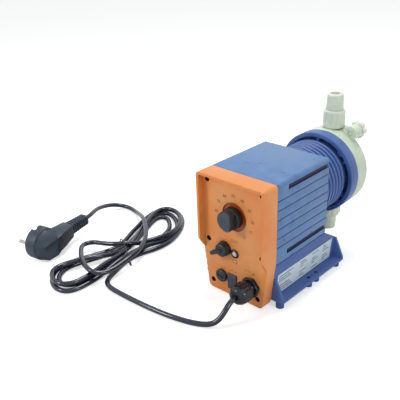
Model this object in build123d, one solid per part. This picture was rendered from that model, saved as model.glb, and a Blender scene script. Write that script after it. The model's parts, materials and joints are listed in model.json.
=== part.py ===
"""Solenoid-driven diaphragm metering pump with its mains lead, in millimetres.

X runs across the control panel, +Y from the panel to the liquid end, +Z up.
Lengths along Y are worked out from the front edge of the cover's hood, and every
piece is then moved so that the origin is the centre of the foot's four screw
holes, on the plane that the foot stands on.
"""

import os
from math import cos, pi, radians, sin, tan

from build123d import *

# ---------------------------------------------------------------- case and cover
CASE_WIDTH = 90.0
CASE_TOP = 145.0
CASE_CORNER_R = 4.0
TAPER_TOP = 57.0
COVER_BOTTOM = 2.0
COVER_BOTTOM_WIDTH = 75.5
COVER_LOW_CORNER_R = 5.0
COVER_DEPTH = 23.0
COVER_WALL = 2.6
HOOD_DEPTH = 8.8
HOOD_WALL = 3.0
HOOD_END_FRONT = 65.0
HOOD_END_PANEL = 51.0
PANEL_THICK = 3.0
COVER_BOSS_R = 4.6
COVER_SCREW_X = (36.8, 36.8, 31.5)
COVER_SCREW_Z = (135.5, 64.0, 12.5)
COVER_SCREW_R = 1.5
COVER_SCREW_HEAD_R = 2.7
COVER_SCREW_HEAD = 2.0
COVER_SCREW_REACH = 9.0
POCKET_R = 3.1
POCKET_DEPTH = 6.0

BOSS_RIB = 3.0
CASE_REAR = 116.5
CASE_BOTTOM = 52.2
CASE_WALL = 3.0
CASE_REAR_WALL = 4.0
SIDE_SLOT_START = 41.5
SIDE_SLOT_HEIGHT = 5.4
SIDE_SLOT_DEPTH = 2.2
UPPER_SLOT_Z = 137.2
LOWER_SLOT_Z = 62.4
SIDE_GROOVES = 6
SIDE_GROOVE_WIDTH = 0.9
SIDE_GROOVE_DEPTH = 0.7

# ---------------------------------------------------------------- foot
FOOT_LENGTH = 121.5
FOOT_WALL = 3.0
FLANGE_WIDTH = 109.0
FLANGE_BOTTOM = 8.0
FLANGE_THICK = 2.8
FOOT_WALL_LOW_HALF = 40.4
GUSSET_THICK = 3.0
GUSSET_TOP = 35.0
GUSSET_TOP_HALF = 44.0
GUSSET_TIP = 1.6
STUB_R = 4.6
STUB_HALF_SPACING_X = 47.2
STUB_INSET_Y = 5.2
HOLE_R = 2.25
HOLE_SPACING_Y = 14.5
FOOT_HOLE_Y = 89.5
FOOT_DECK_THICK = 3.0
LABEL_LENGTH = 106.0
LABEL_HEIGHT = 26.0
LABEL_THICK = 0.4
LABEL_START = 29.0
FOOT_SCREW_R = 1.95
FOOT_SCREW_LENGTH = 12.0
FOOT_SCREW_HEAD_R = 3.4
FOOT_SCREW_HEAD = 2.4
FOOT_SCREW_X = 30.0
FOOT_SCREW_YS = (40.0, 104.0)

# ---------------------------------------------------------------- panel fittings
DIAL_RECESS_R = 16.3
DIAL_RECESS_DEPTH = 1.6
KNOB_R = 13.2
KNOB_SKIRT = 4.5
KNOB_GRIP_WIDTH = 17.0
KNOB_PROUD = 13.4
SPINDLE_R = 4.0
SPINDLE_IN_KNOB = 9.0
SHAFT_CLEARANCE = 0.05
STOP_PIN_R = 6.0
STOP_PIN_LENGTH = 30.0
STOP_BUSH_R = 9.0
STOP_TRAVEL = 1.25

SELECTOR_X = -13.4
SELECTOR_Z = 59.8
SELECTOR_R = 8.6
SELECTOR_HEIGHT = 8.6
SELECTOR_TURN = 207.0
SELECTOR_POINTER = 13.5
SELECTOR_STEM_R = 3.0
SWITCH_SIZE = 14.0
SWITCH_DEPTH = 10.5

LAMP_X = 0.6
LAMP_Z = 57.4
LAMP_BEZEL_R = 5.2
LAMP_LENS_R = 3.2

FUSE_X = -18.0
FUSE_Z = 23.5
FUSE_CAP_R = 7.6
FUSE_CAP_HEIGHT = 3.6
FUSE_SHANK_R = 5.0
FUSE_HOLDER_R = 7.0
FUSE_DEPTH = 10.5

SOCKET_X = -3.2
SOCKET_Z = 20.4
SOCKET_WIDTH = 12.8
SOCKET_HEIGHT = 19.6
SOCKET_PROUD = 1.6

GLAND_X = 23.0
GLAND_Z = 25.5
GLAND_AF = 21.0
GLAND_FLANGE = 5.0
GLAND_THREAD_R = 7.6
GLAND_NUT_R = 9.6
GLAND_NUT_LENGTH = 16.0
GLAND_SEAT_GAP = 0.4
LOCKNUT_THICK = 4.0

# ---------------------------------------------------------------- drive
AXIS_Z = 101.5
RIB_R = 42.5
RIB_ROOT_R = 39.5
RIB_COUNT = 6
RIB_PITCH = 6.4
RIB_WIDTH = 3.9
CASING_WALL = 3.0
POT_WALL = 3.0
POT_FRONT = 84.0
BOBBIN_BORE_R = 12.4
ARMATURE_R = 12.0
ARMATURE_LENGTH = 34.0
WINDING_R = 31.0
CORE_LENGTH = 15.0
STROKE = 1.25
ARMATURE_GAP = 0.45
ROD_R = 4.0
SPRING_R = 6.2
SPRING_WIRE_R = 0.6
SPRING_TURNS = 4
SPRING_POCKET_R = 7.6
SPRING_POCKET_DEPTH = 8.0
BUSH_R = 6.5

# ---------------------------------------------------------------- liquid end
RING_FRONT = 160.0
RING_REAR = 174.0
RING_R = 49.8
RING_BORE_R = 45.0
RING_WEBS = 6
RING_WEB_WIDTH = 3.0
DIAPHRAGM_R = 40.0
DIAPHRAGM_THICK = 2.6
DIAPHRAGM_ACTIVE_R = 26.0
DISC_R = 16.0
DISC_HUB_R = 7.0
DISC_THICK = 3.5
HEAD_THICK = 25.0
HEAD_R = 49.5
HEAD_EDGE_R = 5.0
HEAD_CHAMBER_DEPTH = 4.0
HEAD_SCREWS = 4
HEAD_SCREW_START = 45.0
HEAD_SCREW_PCD_R = 43.9
HEAD_SCREW_R = 2.0
HEAD_SCREW_HEAD_R = 3.5
HEAD_SCREW_HEAD = 4.0
HEAD_SCREW_BOSS_R = 4.0
VALVE_Y = 196.0
VALVE_BLOCK_HALF = 15.5
VALVE_BORE_R = 8.0
VALVE_SOCKET_DEPTH = 16.0
VALVE_BODY_R = 13.0
VALVE_FLUTES = 12
DISCHARGE_HEX_TOP = 172.0
DISCHARGE_TOP = 191.5
NOZZLE_R = 10.4
NOZZLE_TIP_R = 9.4
NOZZLE_BORE_R = 3.2
SUCTION_COLLAR_BOTTOM = 33.0
SUCTION_COLLAR_R = 15.0
SEAL_THICK = 1.4
SEAL_R = 11.0
SUCTION_BOTTOM = 14.5
BALL_R = 3.6
BALL_LIFT = 1.5
SEAT_BORE_R = 2.6
PASSAGE_R = 2.1
PASSAGE_Z = 14.0
BLEED_X = 26.5
BLEED_Z = 148.5
BLEED_BOSS_R = 8.5
BLEED_BOSS_LENGTH = 13.0
BLEED_STEM_R = 3.4
BLEED_KNOB_R = 10.5
BLEED_KNOB_THICK = 7.0
BLEED_KNOB_GAP = 5.0
BLEED_LOBES = 6

# ---------------------------------------------------------------- mains lead
CORD_R = 3.0
PLUG_R = 21.0
PLUG_THICK = 17.0
PLUG_DOME = 8.0
PLUG_X = -236.0
PLUG_Y = -77.0
PLUG_TURN = 12.0
PLUG_ARM_LENGTH = 36.0
PLUG_ARM_WIDTH = 17.0
RELIEF_LENGTH = 33.0
RELIEF_R = 7.5
RELIEF_END_R = 5.6
PIN_R = 2.4
PIN_LENGTH = 19.0
PIN_HALF_SPACING = 9.5
HANK_HEIGHT = 18.0
HANK_WAIST_Y = -6.0
TIE_REACH = 176.0
TIE_WIDTH = 3.0
TIE_THICK = 1.2

PANEL_Y = HOOD_DEPTH
GAP = 0.3
EPS = 0.01


# ---------------------------------------------------------------- shape helpers
def block(x0, x1, y0, y1, z0, z1):
    """Box between two corners."""
    return Pos((x0 + x1) / 2, (y0 + y1) / 2, (z0 + z1) / 2) * Box(x1 - x0, y1 - y0, z1 - z0)


def rod_y(r, y0, y1, x=0.0, z=AXIS_Z):
    """Cylinder along Y."""
    return Pos(x, (y0 + y1) / 2, z) * Rot(90, 0, 0) * Cylinder(r, y1 - y0)


def rod_z(r, z0, z1, x=0.0, y=0.0):
    """Cylinder along Z."""
    return Pos(x, y, (z0 + z1) / 2) * Cylinder(r, z1 - z0)


def slab(face, y0, y1):
    """A face drawn in X and Z, thickened from y0 to y1."""
    return Pos(0, y1, 0) * extrude(Plane.XZ * face, y1 - y0)


def bar_x(face, x0, x1):
    """A face drawn in Y and Z, thickened from x0 to x1."""
    return Pos(x0, 0, 0) * extrude(Plane.YZ * face, x1 - x0)


def outline(points):
    """Closed straight-sided face."""
    return make_face(Polyline(*points, close=True))


def turned_y(profile, x=0.0, z=AXIS_Z):
    """Profile of (radius, y) points turned about a Y axis."""
    return Pos(x, 0, z) * revolve(outline(profile), Axis.Y)


def turned_z(profile, x=0.0, y=0.0):
    """Profile of (radius, z) points turned about a Z axis."""
    return Pos(x, y, 0) * revolve(Plane.XZ * outline(profile), Axis.Z)


def ring_y(r_out, r_in, y0, y1, x=0.0, z=AXIS_Z):
    """Plain ring along Y."""
    return rod_y(r_out, y0, y1, x, z) - rod_y(r_in, y0 - EPS, y1 + EPS, x, z)


def polar(radius, count, start=0.0):
    """Evenly spaced (x, z) offsets on a circle."""
    return [
        (radius * cos(radians(start + 360 * i / count)), radius * sin(radians(start + 360 * i / count)))
        for i in range(count)
    ]


def export(name, shape):
    """Move a piece to the mounting origin and write its STEP file."""
    solids = shape.solids()
    moved = [Pos(0, -FOOT_HOLE_Y, 0) * s for s in solids]
    export_step(moved[0] if len(moved) == 1 else Compound(children=moved), f"parts/{name}.step")


# ---------------------------------------------------------------- case
BOARD_Y = POT_FRONT - 35.0
BOARD_THICK = 1.6
BOARD_BOTTOM = CASE_BOTTOM + FOOT_SCREW_LENGTH + 2.0
BOARD_TOP = CASE_TOP - 12.0
BOARD_SIDE_GAP = 0.1
GUIDE_DEPTH = 2.5
GUIDE_WIDTH = 2.0


def half_width(z):
    """Half the width of the case at a height: upright above, tapering below."""
    if z >= TAPER_TOP:
        return CASE_WIDTH / 2
    share = (z - COVER_BOTTOM) / (TAPER_TOP - COVER_BOTTOM)
    return COVER_BOTTOM_WIDTH / 2 + share * (CASE_WIDTH - COVER_BOTTOM_WIDTH) / 2


def case_outline(bottom, inset=0.0):
    """Front view of the case: rounded shoulders and, low down, inward-leaning sides."""
    top, low = CASE_TOP - inset, bottom + inset
    side = CASE_WIDTH / 2 - inset
    right = [(half_width(low) - inset, low), (side, TAPER_TOP), (side, top)]
    left = [(-x, z) for x, z in reversed(right)]
    face = outline(right + left)
    shoulders = face.vertices().group_by(Axis.Y)[-1]
    face = fillet(shoulders, max(CASE_CORNER_R - inset, 0.8))
    low_r = COVER_LOW_CORNER_R if bottom < TAPER_TOP / 2 else CASE_CORNER_R / 2
    return fillet(face.vertices().group_by(Axis.Y)[0], max(low_r - inset, 0.8))


def cover_screw_places():
    """The six places of the cover screws."""
    return [(side * x, z) for x, z in zip(COVER_SCREW_X, COVER_SCREW_Z) for side in (-1, 1)]


def front_cover():
    """Hooded cover: a recessed instrument panel behind a rim that ends in slants."""
    shell = slab(case_outline(COVER_BOTTOM), 0, COVER_DEPTH)
    shell -= slab(case_outline(COVER_BOTTOM, COVER_WALL), PANEL_Y + PANEL_THICK, COVER_DEPTH + EPS)
    shell -= slab(case_outline(COVER_BOTTOM - 20, HOOD_WALL), -EPS, PANEL_Y)
    below_hood = outline([
        (-EPS, HOOD_END_FRONT), (PANEL_Y, HOOD_END_PANEL), (PANEL_Y, -EPS), (-EPS, -EPS)])
    shell -= bar_x(below_hood, -CASE_WIDTH, CASE_WIDTH)
    shell += rod_y(DIAL_RECESS_R + 2, PANEL_Y, PANEL_Y + PANEL_THICK + DIAL_RECESS_DEPTH, 0, AXIS_Z)
    for x, z in cover_screw_places():
        shell += rod_y(COVER_BOSS_R, PANEL_Y + EPS, COVER_DEPTH, x, z)
    for x, z in cover_screw_places():
        shell -= rod_y(POCKET_R, PANEL_Y - EPS, PANEL_Y + POCKET_DEPTH, x, z)
        shell -= rod_y(COVER_SCREW_R + 0.3, PANEL_Y, COVER_DEPTH + EPS, x, z)
    shell -= rod_y(DIAL_RECESS_R, PANEL_Y - EPS, PANEL_Y + DIAL_RECESS_DEPTH, 0, AXIS_Z)
    shell -= rod_y(SPINDLE_R + GAP, PANEL_Y, COVER_DEPTH, 0, AXIS_Z)
    shell -= rod_y(SELECTOR_STEM_R + GAP, PANEL_Y - EPS, COVER_DEPTH, SELECTOR_X, SELECTOR_Z)
    shell -= rod_y(LAMP_LENS_R + 0.9, PANEL_Y - EPS, COVER_DEPTH, LAMP_X, LAMP_Z)
    shell -= rod_y(FUSE_SHANK_R + 1.2, PANEL_Y - EPS, COVER_DEPTH, FUSE_X, FUSE_Z)
    shell -= rod_y(GLAND_THREAD_R + 0.2, PANEL_Y - EPS, COVER_DEPTH, GLAND_X, GLAND_Z)
    return shell


def cover_screws():
    """Six pan-head screws, sunk in the cover's pockets and biting into the case's bosses."""
    seat = PANEL_Y + POCKET_DEPTH
    profile = [
        (0, seat - COVER_SCREW_HEAD), (COVER_SCREW_HEAD_R, seat - COVER_SCREW_HEAD),
        (COVER_SCREW_HEAD_R, seat), (COVER_SCREW_R, seat),
        (COVER_SCREW_R, COVER_DEPTH + COVER_SCREW_REACH), (0, COVER_DEPTH + COVER_SCREW_REACH)]
    slot = block(-0.5, 0.5, seat - COVER_SCREW_HEAD - EPS, seat - COVER_SCREW_HEAD + 0.9,
                 -COVER_SCREW_HEAD_R, COVER_SCREW_HEAD_R)
    cross = Rot(0, 90, 0) * slot
    one = turned_y(profile, 0, 0) - slot - cross
    return Compound(children=[Pos(x, 0, z) * one for x, z in cover_screw_places()])


def low_cover_screws():
    """The two lowest cover screws, which bite into the foot."""
    return [p for p in cover_screw_places() if p[1] < CASE_BOTTOM]


def housing():
    """Case shell, open towards the cover, with cooling grooves and two long slots on each side."""
    shell = slab(case_outline(CASE_BOTTOM), COVER_DEPTH, CASE_REAR)
    shell -= slab(case_outline(CASE_BOTTOM, CASE_WALL), COVER_DEPTH - EPS, CASE_REAR - CASE_REAR_WALL)
    for x, z in cover_screw_places():
        if z > CASE_BOTTOM:
            boss_end = COVER_DEPTH + COVER_SCREW_REACH + 3
            rib = block(*sorted((x, (CASE_WIDTH / 2 - 1) * (1 if x > 0 else -1))), COVER_DEPTH, boss_end,
                        z - BOSS_RIB / 2, z + BOSS_RIB / 2)
            shell += rib + rod_y(COVER_BOSS_R, COVER_DEPTH, boss_end, x, z)
    for x, z in cover_screw_places():
        shell -= rod_y(COVER_SCREW_R, COVER_DEPTH - EPS, COVER_DEPTH + COVER_SCREW_REACH, x, z)
    shell -= rod_y(POT_R + GAP, CASE_REAR - CASE_REAR_WALL - EPS, CASE_REAR + EPS)
    pitch = (UPPER_SLOT_Z - LOWER_SLOT_Z) / (SIDE_GROOVES + 1)
    for side in (-1, 1):
        face = side * CASE_WIDTH / 2
        for z in (UPPER_SLOT_Z, LOWER_SLOT_Z):
            shell -= block(*sorted((face - side * SIDE_SLOT_DEPTH, face + side)), SIDE_SLOT_START,
                           CASE_REAR + EPS, z - SIDE_SLOT_HEIGHT / 2, z + SIDE_SLOT_HEIGHT / 2)
        for i in range(1, SIDE_GROOVES + 1):
            z = LOWER_SLOT_Z + i * pitch
            shell -= block(*sorted((face - side * SIDE_GROOVE_DEPTH, face + side)), COVER_DEPTH - EPS,
                           CASE_REAR + EPS, z - SIDE_GROOVE_WIDTH / 2, z + SIDE_GROOVE_WIDTH / 2)
    wall = CASE_WIDTH / 2 - CASE_WALL
    for x0, x1 in ((-wall - 1, -wall + GUIDE_DEPTH), (wall - GUIDE_DEPTH, wall + 1)):
        for y in (BOARD_Y - BOARD_SIDE_GAP - GUIDE_WIDTH, BOARD_Y + BOARD_THICK + BOARD_SIDE_GAP):
            shell += block(x0, x1, y, y + GUIDE_WIDTH, BOARD_BOTTOM, BOARD_TOP)
    for x in (-FOOT_SCREW_X, FOOT_SCREW_X):
        for y in FOOT_SCREW_YS:
            shell += rod_z(5.0, CASE_BOTTOM + EPS, CASE_BOTTOM + FOOT_SCREW_LENGTH, x, y)
    for x in (-FOOT_SCREW_X, FOOT_SCREW_X):
        for y in FOOT_SCREW_YS:
            shell -= rod_z(FOOT_SCREW_R, CASE_BOTTOM - EPS, CASE_BOTTOM + FOOT_SCREW_LENGTH - 2, x, y)
    return shell


# ---------------------------------------------------------------- foot
FOOT_FRONT = COVER_DEPTH
FOOT_REAR = FOOT_FRONT + FOOT_LENGTH


def foot_wall_half(z):
    """Outer half width of the foot's side wall, which leans out to meet the case."""
    share = (z - FLANGE_BOTTOM) / (CASE_BOTTOM - FLANGE_BOTTOM)
    return FOOT_WALL_LOW_HALF + share * (half_width(CASE_BOTTOM) - FOOT_WALL_LOW_HALF)


def foot_section(inset, low, top):
    """Cross-section of the foot between its walls' faces."""
    return outline([
        (foot_wall_half(low) - inset, low), (foot_wall_half(top) - inset, top),
        (-foot_wall_half(top) + inset, top), (-foot_wall_half(low) + inset, low)])


def foot():
    """Foot: leaning walls under a deck, a flange with screw bosses, and gussets at both ends."""
    body = slab(foot_section(0, FLANGE_BOTTOM, CASE_BOTTOM), FOOT_FRONT, FOOT_REAR)
    low = FLANGE_BOTTOM - EPS
    body -= slab(foot_section(FOOT_WALL, low, CASE_BOTTOM - FOOT_DECK_THICK),
                 FOOT_FRONT + FOOT_WALL, FOOT_REAR - FOOT_WALL)
    behind_case = outline([
        (CASE_REAR, CASE_BOTTOM + EPS), (FOOT_REAR + EPS, GUSSET_TOP), (FOOT_REAR + EPS, CASE_BOTTOM + EPS)])
    body -= bar_x(behind_case, -FLANGE_WIDTH, FLANGE_WIDTH)
    body += bar_x(outline([
        (CASE_REAR - 1, CASE_BOTTOM - FOOT_DECK_THICK), (CASE_REAR, CASE_BOTTOM), (FOOT_REAR, GUSSET_TOP),
        (FOOT_REAR, GUSSET_TOP - FOOT_DECK_THICK)]), -FOOT_WALL_LOW_HALF, FOOT_WALL_LOW_HALF)
    flange = block(-FLANGE_WIDTH / 2, FLANGE_WIDTH / 2, FOOT_FRONT, FOOT_REAR,
                   FLANGE_BOTTOM, FLANGE_BOTTOM + FLANGE_THICK)
    flange -= block(-foot_wall_half(FLANGE_BOTTOM) + FOOT_WALL, foot_wall_half(FLANGE_BOTTOM) - FOOT_WALL,
                    FOOT_FRONT + FOOT_WALL, FOOT_REAR - FOOT_WALL, low, CASE_BOTTOM)
    body += flange
    tip = FLANGE_WIDTH / 2
    gusset = outline([
        (-tip, FLANGE_BOTTOM), (tip, FLANGE_BOTTOM), (tip, FLANGE_BOTTOM + FLANGE_THICK + GUSSET_TIP),
        (GUSSET_TOP_HALF, GUSSET_TOP), (-GUSSET_TOP_HALF, GUSSET_TOP),
        (-tip, FLANGE_BOTTOM + FLANGE_THICK + GUSSET_TIP)])
    for y in (FOOT_FRONT, FOOT_REAR - GUSSET_THICK):
        body += slab(gusset, y, y + GUSSET_THICK)
    for x in (-STUB_HALF_SPACING_X, STUB_HALF_SPACING_X):
        for y in stub_places():
            body += rod_z(STUB_R, 0, FLANGE_BOTTOM + EPS, x, y)
        for y in hole_places():
            body -= rod_z(HOLE_R, -EPS, FLANGE_BOTTOM + FLANGE_THICK + EPS, x, y)
    for x in (-FOOT_SCREW_X, FOOT_SCREW_X):
        for y in FOOT_SCREW_YS:
            body -= rod_z(FOOT_SCREW_R + 0.3, CASE_BOTTOM - 2 * FOOT_DECK_THICK, CASE_BOTTOM + EPS, x, y)
    for x, z in low_cover_screws():
        body += rod_y(COVER_BOSS_R, FOOT_FRONT + EPS, FOOT_FRONT + COVER_SCREW_REACH + 3, x, z)
    for x, z in low_cover_screws():
        body -= rod_y(COVER_SCREW_R, FOOT_FRONT - EPS, FOOT_FRONT + COVER_SCREW_REACH, x, z)
    return body


def hole_places():
    """Y places of the two screw holes on each side."""
    return (FOOT_HOLE_Y - HOLE_SPACING_Y / 2, FOOT_HOLE_Y + HOLE_SPACING_Y / 2)


def stub_places():
    """Y places of the round feet: one at each end and one round each screw hole."""
    return (FOOT_FRONT + STUB_INSET_Y, *hole_places(), FOOT_REAR - STUB_INSET_Y)


def foot_screws():
    """Four screws that hold the foot to the case from below."""
    seat = CASE_BOTTOM - FOOT_DECK_THICK
    tip = CASE_BOTTOM + FOOT_SCREW_LENGTH - 3
    under = seat - FOOT_SCREW_HEAD
    profile = [(0, under), (FOOT_SCREW_HEAD_R, under), (FOOT_SCREW_HEAD_R, seat),
               (FOOT_SCREW_R - 0.05, seat), (FOOT_SCREW_R - 0.05, tip), (0, tip)]
    places = [(x, y) for x in (-FOOT_SCREW_X, FOOT_SCREW_X) for y in FOOT_SCREW_YS]
    return Compound(children=[turned_z(profile, x, y) for x, y in places])


def label_plate():
    """Blank plate on the right wall of the foot, lying against its lean."""
    low = FLANGE_BOTTOM + FLANGE_THICK + 0.6
    x_low, x_top = foot_wall_half(low), foot_wall_half(low + LABEL_HEIGHT)
    face = outline([(x_low, low), (x_low + LABEL_THICK, low), (x_top + LABEL_THICK, low + LABEL_HEIGHT),
                    (x_top, low + LABEL_HEIGHT)])
    return slab(face, LABEL_START, LABEL_START + LABEL_LENGTH)


# ---------------------------------------------------------------- panel fittings
def stroke_knob():
    """Stroke knob: round skirt in the dial's recess and a bar grip with scalloped flanks."""
    back = PANEL_Y + DIAL_RECESS_DEPTH - GAP
    front = PANEL_Y - KNOB_PROUD
    body = rod_y(KNOB_R, front, back, 0, AXIS_Z)
    grip_back = back - KNOB_SKIRT
    for side in (-1, 1):
        flank = rod_y(KNOB_R * 2, front - EPS, grip_back,
                      side * (KNOB_GRIP_WIDTH / 2 + KNOB_R * 2), AXIS_Z)
        body -= flank
    body = chamfer(body.edges().group_by(Axis.Y)[0], 0.8)
    body -= rod_y(1.0, front - EPS, front + 0.5, 0, AXIS_Z)
    return body - rod_y(SPINDLE_R, back - SPINDLE_IN_KNOB, back + EPS, 0, AXIS_Z)


SPINDLE_END = POT_FRONT - POT_WALL


def stroke_spindle():
    """Adjusting spindle from the knob to the stop pin, along the solenoid's axis."""
    back = PANEL_Y + DIAL_RECESS_DEPTH - GAP
    return rod_y(SPINDLE_R, back - SPINDLE_IN_KNOB, SPINDLE_END, 0, AXIS_Z)


POT_R = RIB_ROOT_R - CASING_WALL - GAP
CASING_FRONT = CASE_REAR
POT_REAR = RING_REAR - 14.0
CORE_FRONT = POT_REAR - CORE_LENGTH
ARMATURE_REAR_END = CORE_FRONT - STROKE - ARMATURE_GAP
ARMATURE_FRONT_END = ARMATURE_REAR_END - ARMATURE_LENGTH
STOP_GAP = STOP_TRAVEL / 2 + GAP


def stop_pin():
    """Sliding stop that sets how far the armature returns; the spindle screws into it."""
    end = ARMATURE_FRONT_END - STOP_GAP
    pin = rod_y(STOP_PIN_R, end - STOP_PIN_LENGTH, end, 0, AXIS_Z)
    bore_end = SPINDLE_END + STOP_TRAVEL
    return pin - rod_y(SPINDLE_R + SHAFT_CLEARANCE, end - STOP_PIN_LENGTH - EPS, bore_end, 0, AXIS_Z)


def stop_bush():
    """Bush in the pot's front plate that guides the stop pin."""
    return ring_y(STOP_BUSH_R, STOP_PIN_R + SHAFT_CLEARANCE, POT_FRONT - 4, POT_FRONT + POT_WALL)


def selector_knob():
    """Round selector knob with a raised wing that ends in a pointer."""
    front = PANEL_Y - SELECTOR_HEIGHT
    body = turned_y([(0, front), (SELECTOR_R - 2.2, front), (SELECTOR_R - 1.2, front + 0.8),
                     (SELECTOR_R, PANEL_Y - 2.0), (SELECTOR_R, PANEL_Y - GAP), (0, PANEL_Y - GAP)], 0, 0)
    wing = block(-2.0, SELECTOR_POINTER, front - 3.0, front + 3.6, -2.1, 2.1)
    wing = fillet(wing.edges().filter_by(Axis.Y), 1.6)
    body += wing
    stem = rod_y(SELECTOR_STEM_R, PANEL_Y - GAP - EPS, PANEL_Y + PANEL_THICK + SWITCH_DEPTH - 4, 0, 0)
    return Pos(SELECTOR_X, 0, SELECTOR_Z) * Rot(0, -SELECTOR_TURN, 0) * (body + stem)


def rotary_switch():
    """Switch body behind the panel, with the bore that the knob's stem turns in."""
    back = PANEL_Y + PANEL_THICK
    half = SWITCH_SIZE / 2
    body = block(SELECTOR_X - half, SELECTOR_X + half, back, back + SWITCH_DEPTH, SELECTOR_Z - half,
                 SELECTOR_Z + half)
    bore_end = back + SWITCH_DEPTH - 3
    return body - rod_y(SELECTOR_STEM_R + SHAFT_CLEARANCE, back - EPS, bore_end, SELECTOR_X, SELECTOR_Z)


def lamp_bezel():
    """Bezel ring of the pilot lamp, clamped through the panel."""
    lip = ring_y(LAMP_BEZEL_R, LAMP_LENS_R, PANEL_Y - 1.6, PANEL_Y, LAMP_X, LAMP_Z)
    lip = chamfer(lip.edges().group_by(Axis.Y)[0].sort_by(SortBy.LENGTH)[-1:], 0.7)
    tube_end = PANEL_Y + PANEL_THICK + 3
    return lip + ring_y(LAMP_LENS_R + 0.8, LAMP_LENS_R, PANEL_Y - EPS, tube_end, LAMP_X, LAMP_Z)


def lamp_lens():
    """Domed lens of the pilot lamp."""
    r = LAMP_LENS_R - 0.05
    front = PANEL_Y - 1.1
    return turned_y([(0, front - 0.9), (r * 0.55, front - 0.6), (r * 0.9, front), (r, front + 0.5),
                     (r, PANEL_Y + PANEL_THICK + 2), (0, PANEL_Y + PANEL_THICK + 2)], LAMP_X, LAMP_Z)


def fuse_cap():
    """Slotted bayonet cap of the fuse holder."""
    front = PANEL_Y - FUSE_CAP_HEIGHT
    shank_end = PANEL_Y + PANEL_THICK + FUSE_DEPTH - 1.5
    cap = turned_y([(0, front), (FUSE_CAP_R - 1.0, front), (FUSE_CAP_R, front + 1.0),
                    (FUSE_CAP_R, PANEL_Y - GAP), (FUSE_SHANK_R, PANEL_Y - GAP),
                    (FUSE_SHANK_R, shank_end), (0, shank_end)], FUSE_X, FUSE_Z)
    slot = block(-FUSE_CAP_R * 0.62, FUSE_CAP_R * 0.62, front - EPS, front + 1.6, -0.75, 0.75)
    return cap - Pos(FUSE_X, 0, FUSE_Z) * Rot(0, 12, 0) * slot


def fuse_holder():
    """Tube of the fuse holder behind the panel."""
    back = PANEL_Y + PANEL_THICK
    tube = rod_y(FUSE_HOLDER_R, back, back + FUSE_DEPTH, FUSE_X, FUSE_Z)
    tube += rod_y(FUSE_SHANK_R + 1.1, PANEL_Y + 0.1, back + 1, FUSE_X, FUSE_Z)
    return tube - rod_y(FUSE_SHANK_R + SHAFT_CLEARANCE, PANEL_Y - 1, back + FUSE_DEPTH - 1, FUSE_X, FUSE_Z)


def socket_cover():
    """Flat rectangular cover over the signal socket."""
    plate = block(SOCKET_X - SOCKET_WIDTH / 2, SOCKET_X + SOCKET_WIDTH / 2, PANEL_Y - SOCKET_PROUD, PANEL_Y,
                  SOCKET_Z - SOCKET_HEIGHT / 2, SOCKET_Z + SOCKET_HEIGHT / 2)
    plate = fillet(plate.edges().filter_by(Axis.Y), 0.9)
    return chamfer(plate.edges().group_by(Axis.Y)[0], 0.5)


GLAND_FACE = PANEL_Y - GLAND_FLANGE
GLAND_MOUTH = GLAND_FACE - GLAND_SEAT_GAP - GLAND_NUT_LENGTH


def hexagon_y(across_flats, y0, y1, x, z, turn=0.0):
    """Hexagonal prism along Y."""
    prism = slab(RegularPolygon(across_flats / 2, 6, major_radius=False, rotation=turn), y0, y1)
    corners = rod_y(across_flats / 2 * 1.12, y0, y1, 0, 0)
    return Pos(x, 0, z) * (prism & corners)


def gland_body():
    """Cable gland body: hexagonal flange on the panel and a threaded tube through it."""
    body = hexagon_y(GLAND_AF, GLAND_FACE, PANEL_Y, GLAND_X, GLAND_Z, 12)
    body += rod_y(GLAND_THREAD_R, GLAND_FACE - 6, PANEL_Y + PANEL_THICK + 7, GLAND_X, GLAND_Z)
    return body - rod_y(CORD_R + 1.5, GLAND_MOUTH, PANEL_Y + 30, GLAND_X, GLAND_Z)


def gland_nut():
    """Domed nut of the gland, with ribs for the fingers."""
    back = GLAND_FACE - GLAND_SEAT_GAP
    shoulder = GLAND_MOUTH + 7.5
    face = Circle(GLAND_NUT_R)
    for x, z in polar(GLAND_NUT_R + 1.0, 10, 18):
        face -= Pos(x, z) * Circle(1.7)
    nut = slab(face, shoulder, back)
    nut += turned_y([(0, GLAND_MOUTH), (CORD_R + 2.6, GLAND_MOUTH), (GLAND_NUT_R - 1.6, GLAND_MOUTH + 4.5),
                     (GLAND_NUT_R - 0.9, shoulder + EPS), (0, shoulder + EPS)], 0, 0)
    nut -= rod_y(GLAND_THREAD_R + 0.15, back - 7.5, back + EPS, 0, 0)
    nut -= rod_y(CORD_R + 0.4, GLAND_MOUTH - EPS, back, 0, 0)
    return Pos(GLAND_X, 0, GLAND_Z) * nut


def gland_seal():
    """Rubber seal squeezed round the lead inside the gland."""
    front = GLAND_FACE - GLAND_SEAT_GAP - 5.5
    return ring_y(CORD_R + 1.45, CORD_R + 0.1, front, front + 9, GLAND_X, GLAND_Z)


def gland_locknut():
    """Locknut behind the panel."""
    back = PANEL_Y + PANEL_THICK
    nut = hexagon_y(GLAND_AF - 3, back, back + LOCKNUT_THICK, GLAND_X, GLAND_Z)
    return nut - rod_y(GLAND_THREAD_R + 0.05, back - 1, back + LOCKNUT_THICK + 1, GLAND_X, GLAND_Z)


def circuit_board():
    """Control board across the case, in the guides of its side walls, with a hole for the spindle."""
    half = CASE_WIDTH / 2 - CASE_WALL - BOARD_SIDE_GAP
    board = block(-half, half, BOARD_Y, BOARD_Y + BOARD_THICK, BOARD_BOTTOM, BOARD_TOP)
    return board - rod_y(SPINDLE_R + 4, BOARD_Y - 1, BOARD_Y + 3)


def board_parts():
    """Transformer, capacitor and terminal block on the control board."""
    face = BOARD_Y + BOARD_THICK
    return Compound(children=[
        block(-32, -10, face, face + 20, 74, 98),
        rod_y(6, face, face + 22, 22, 78),
        block(12, 32, face, face + 9, 120, 130)])


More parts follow.
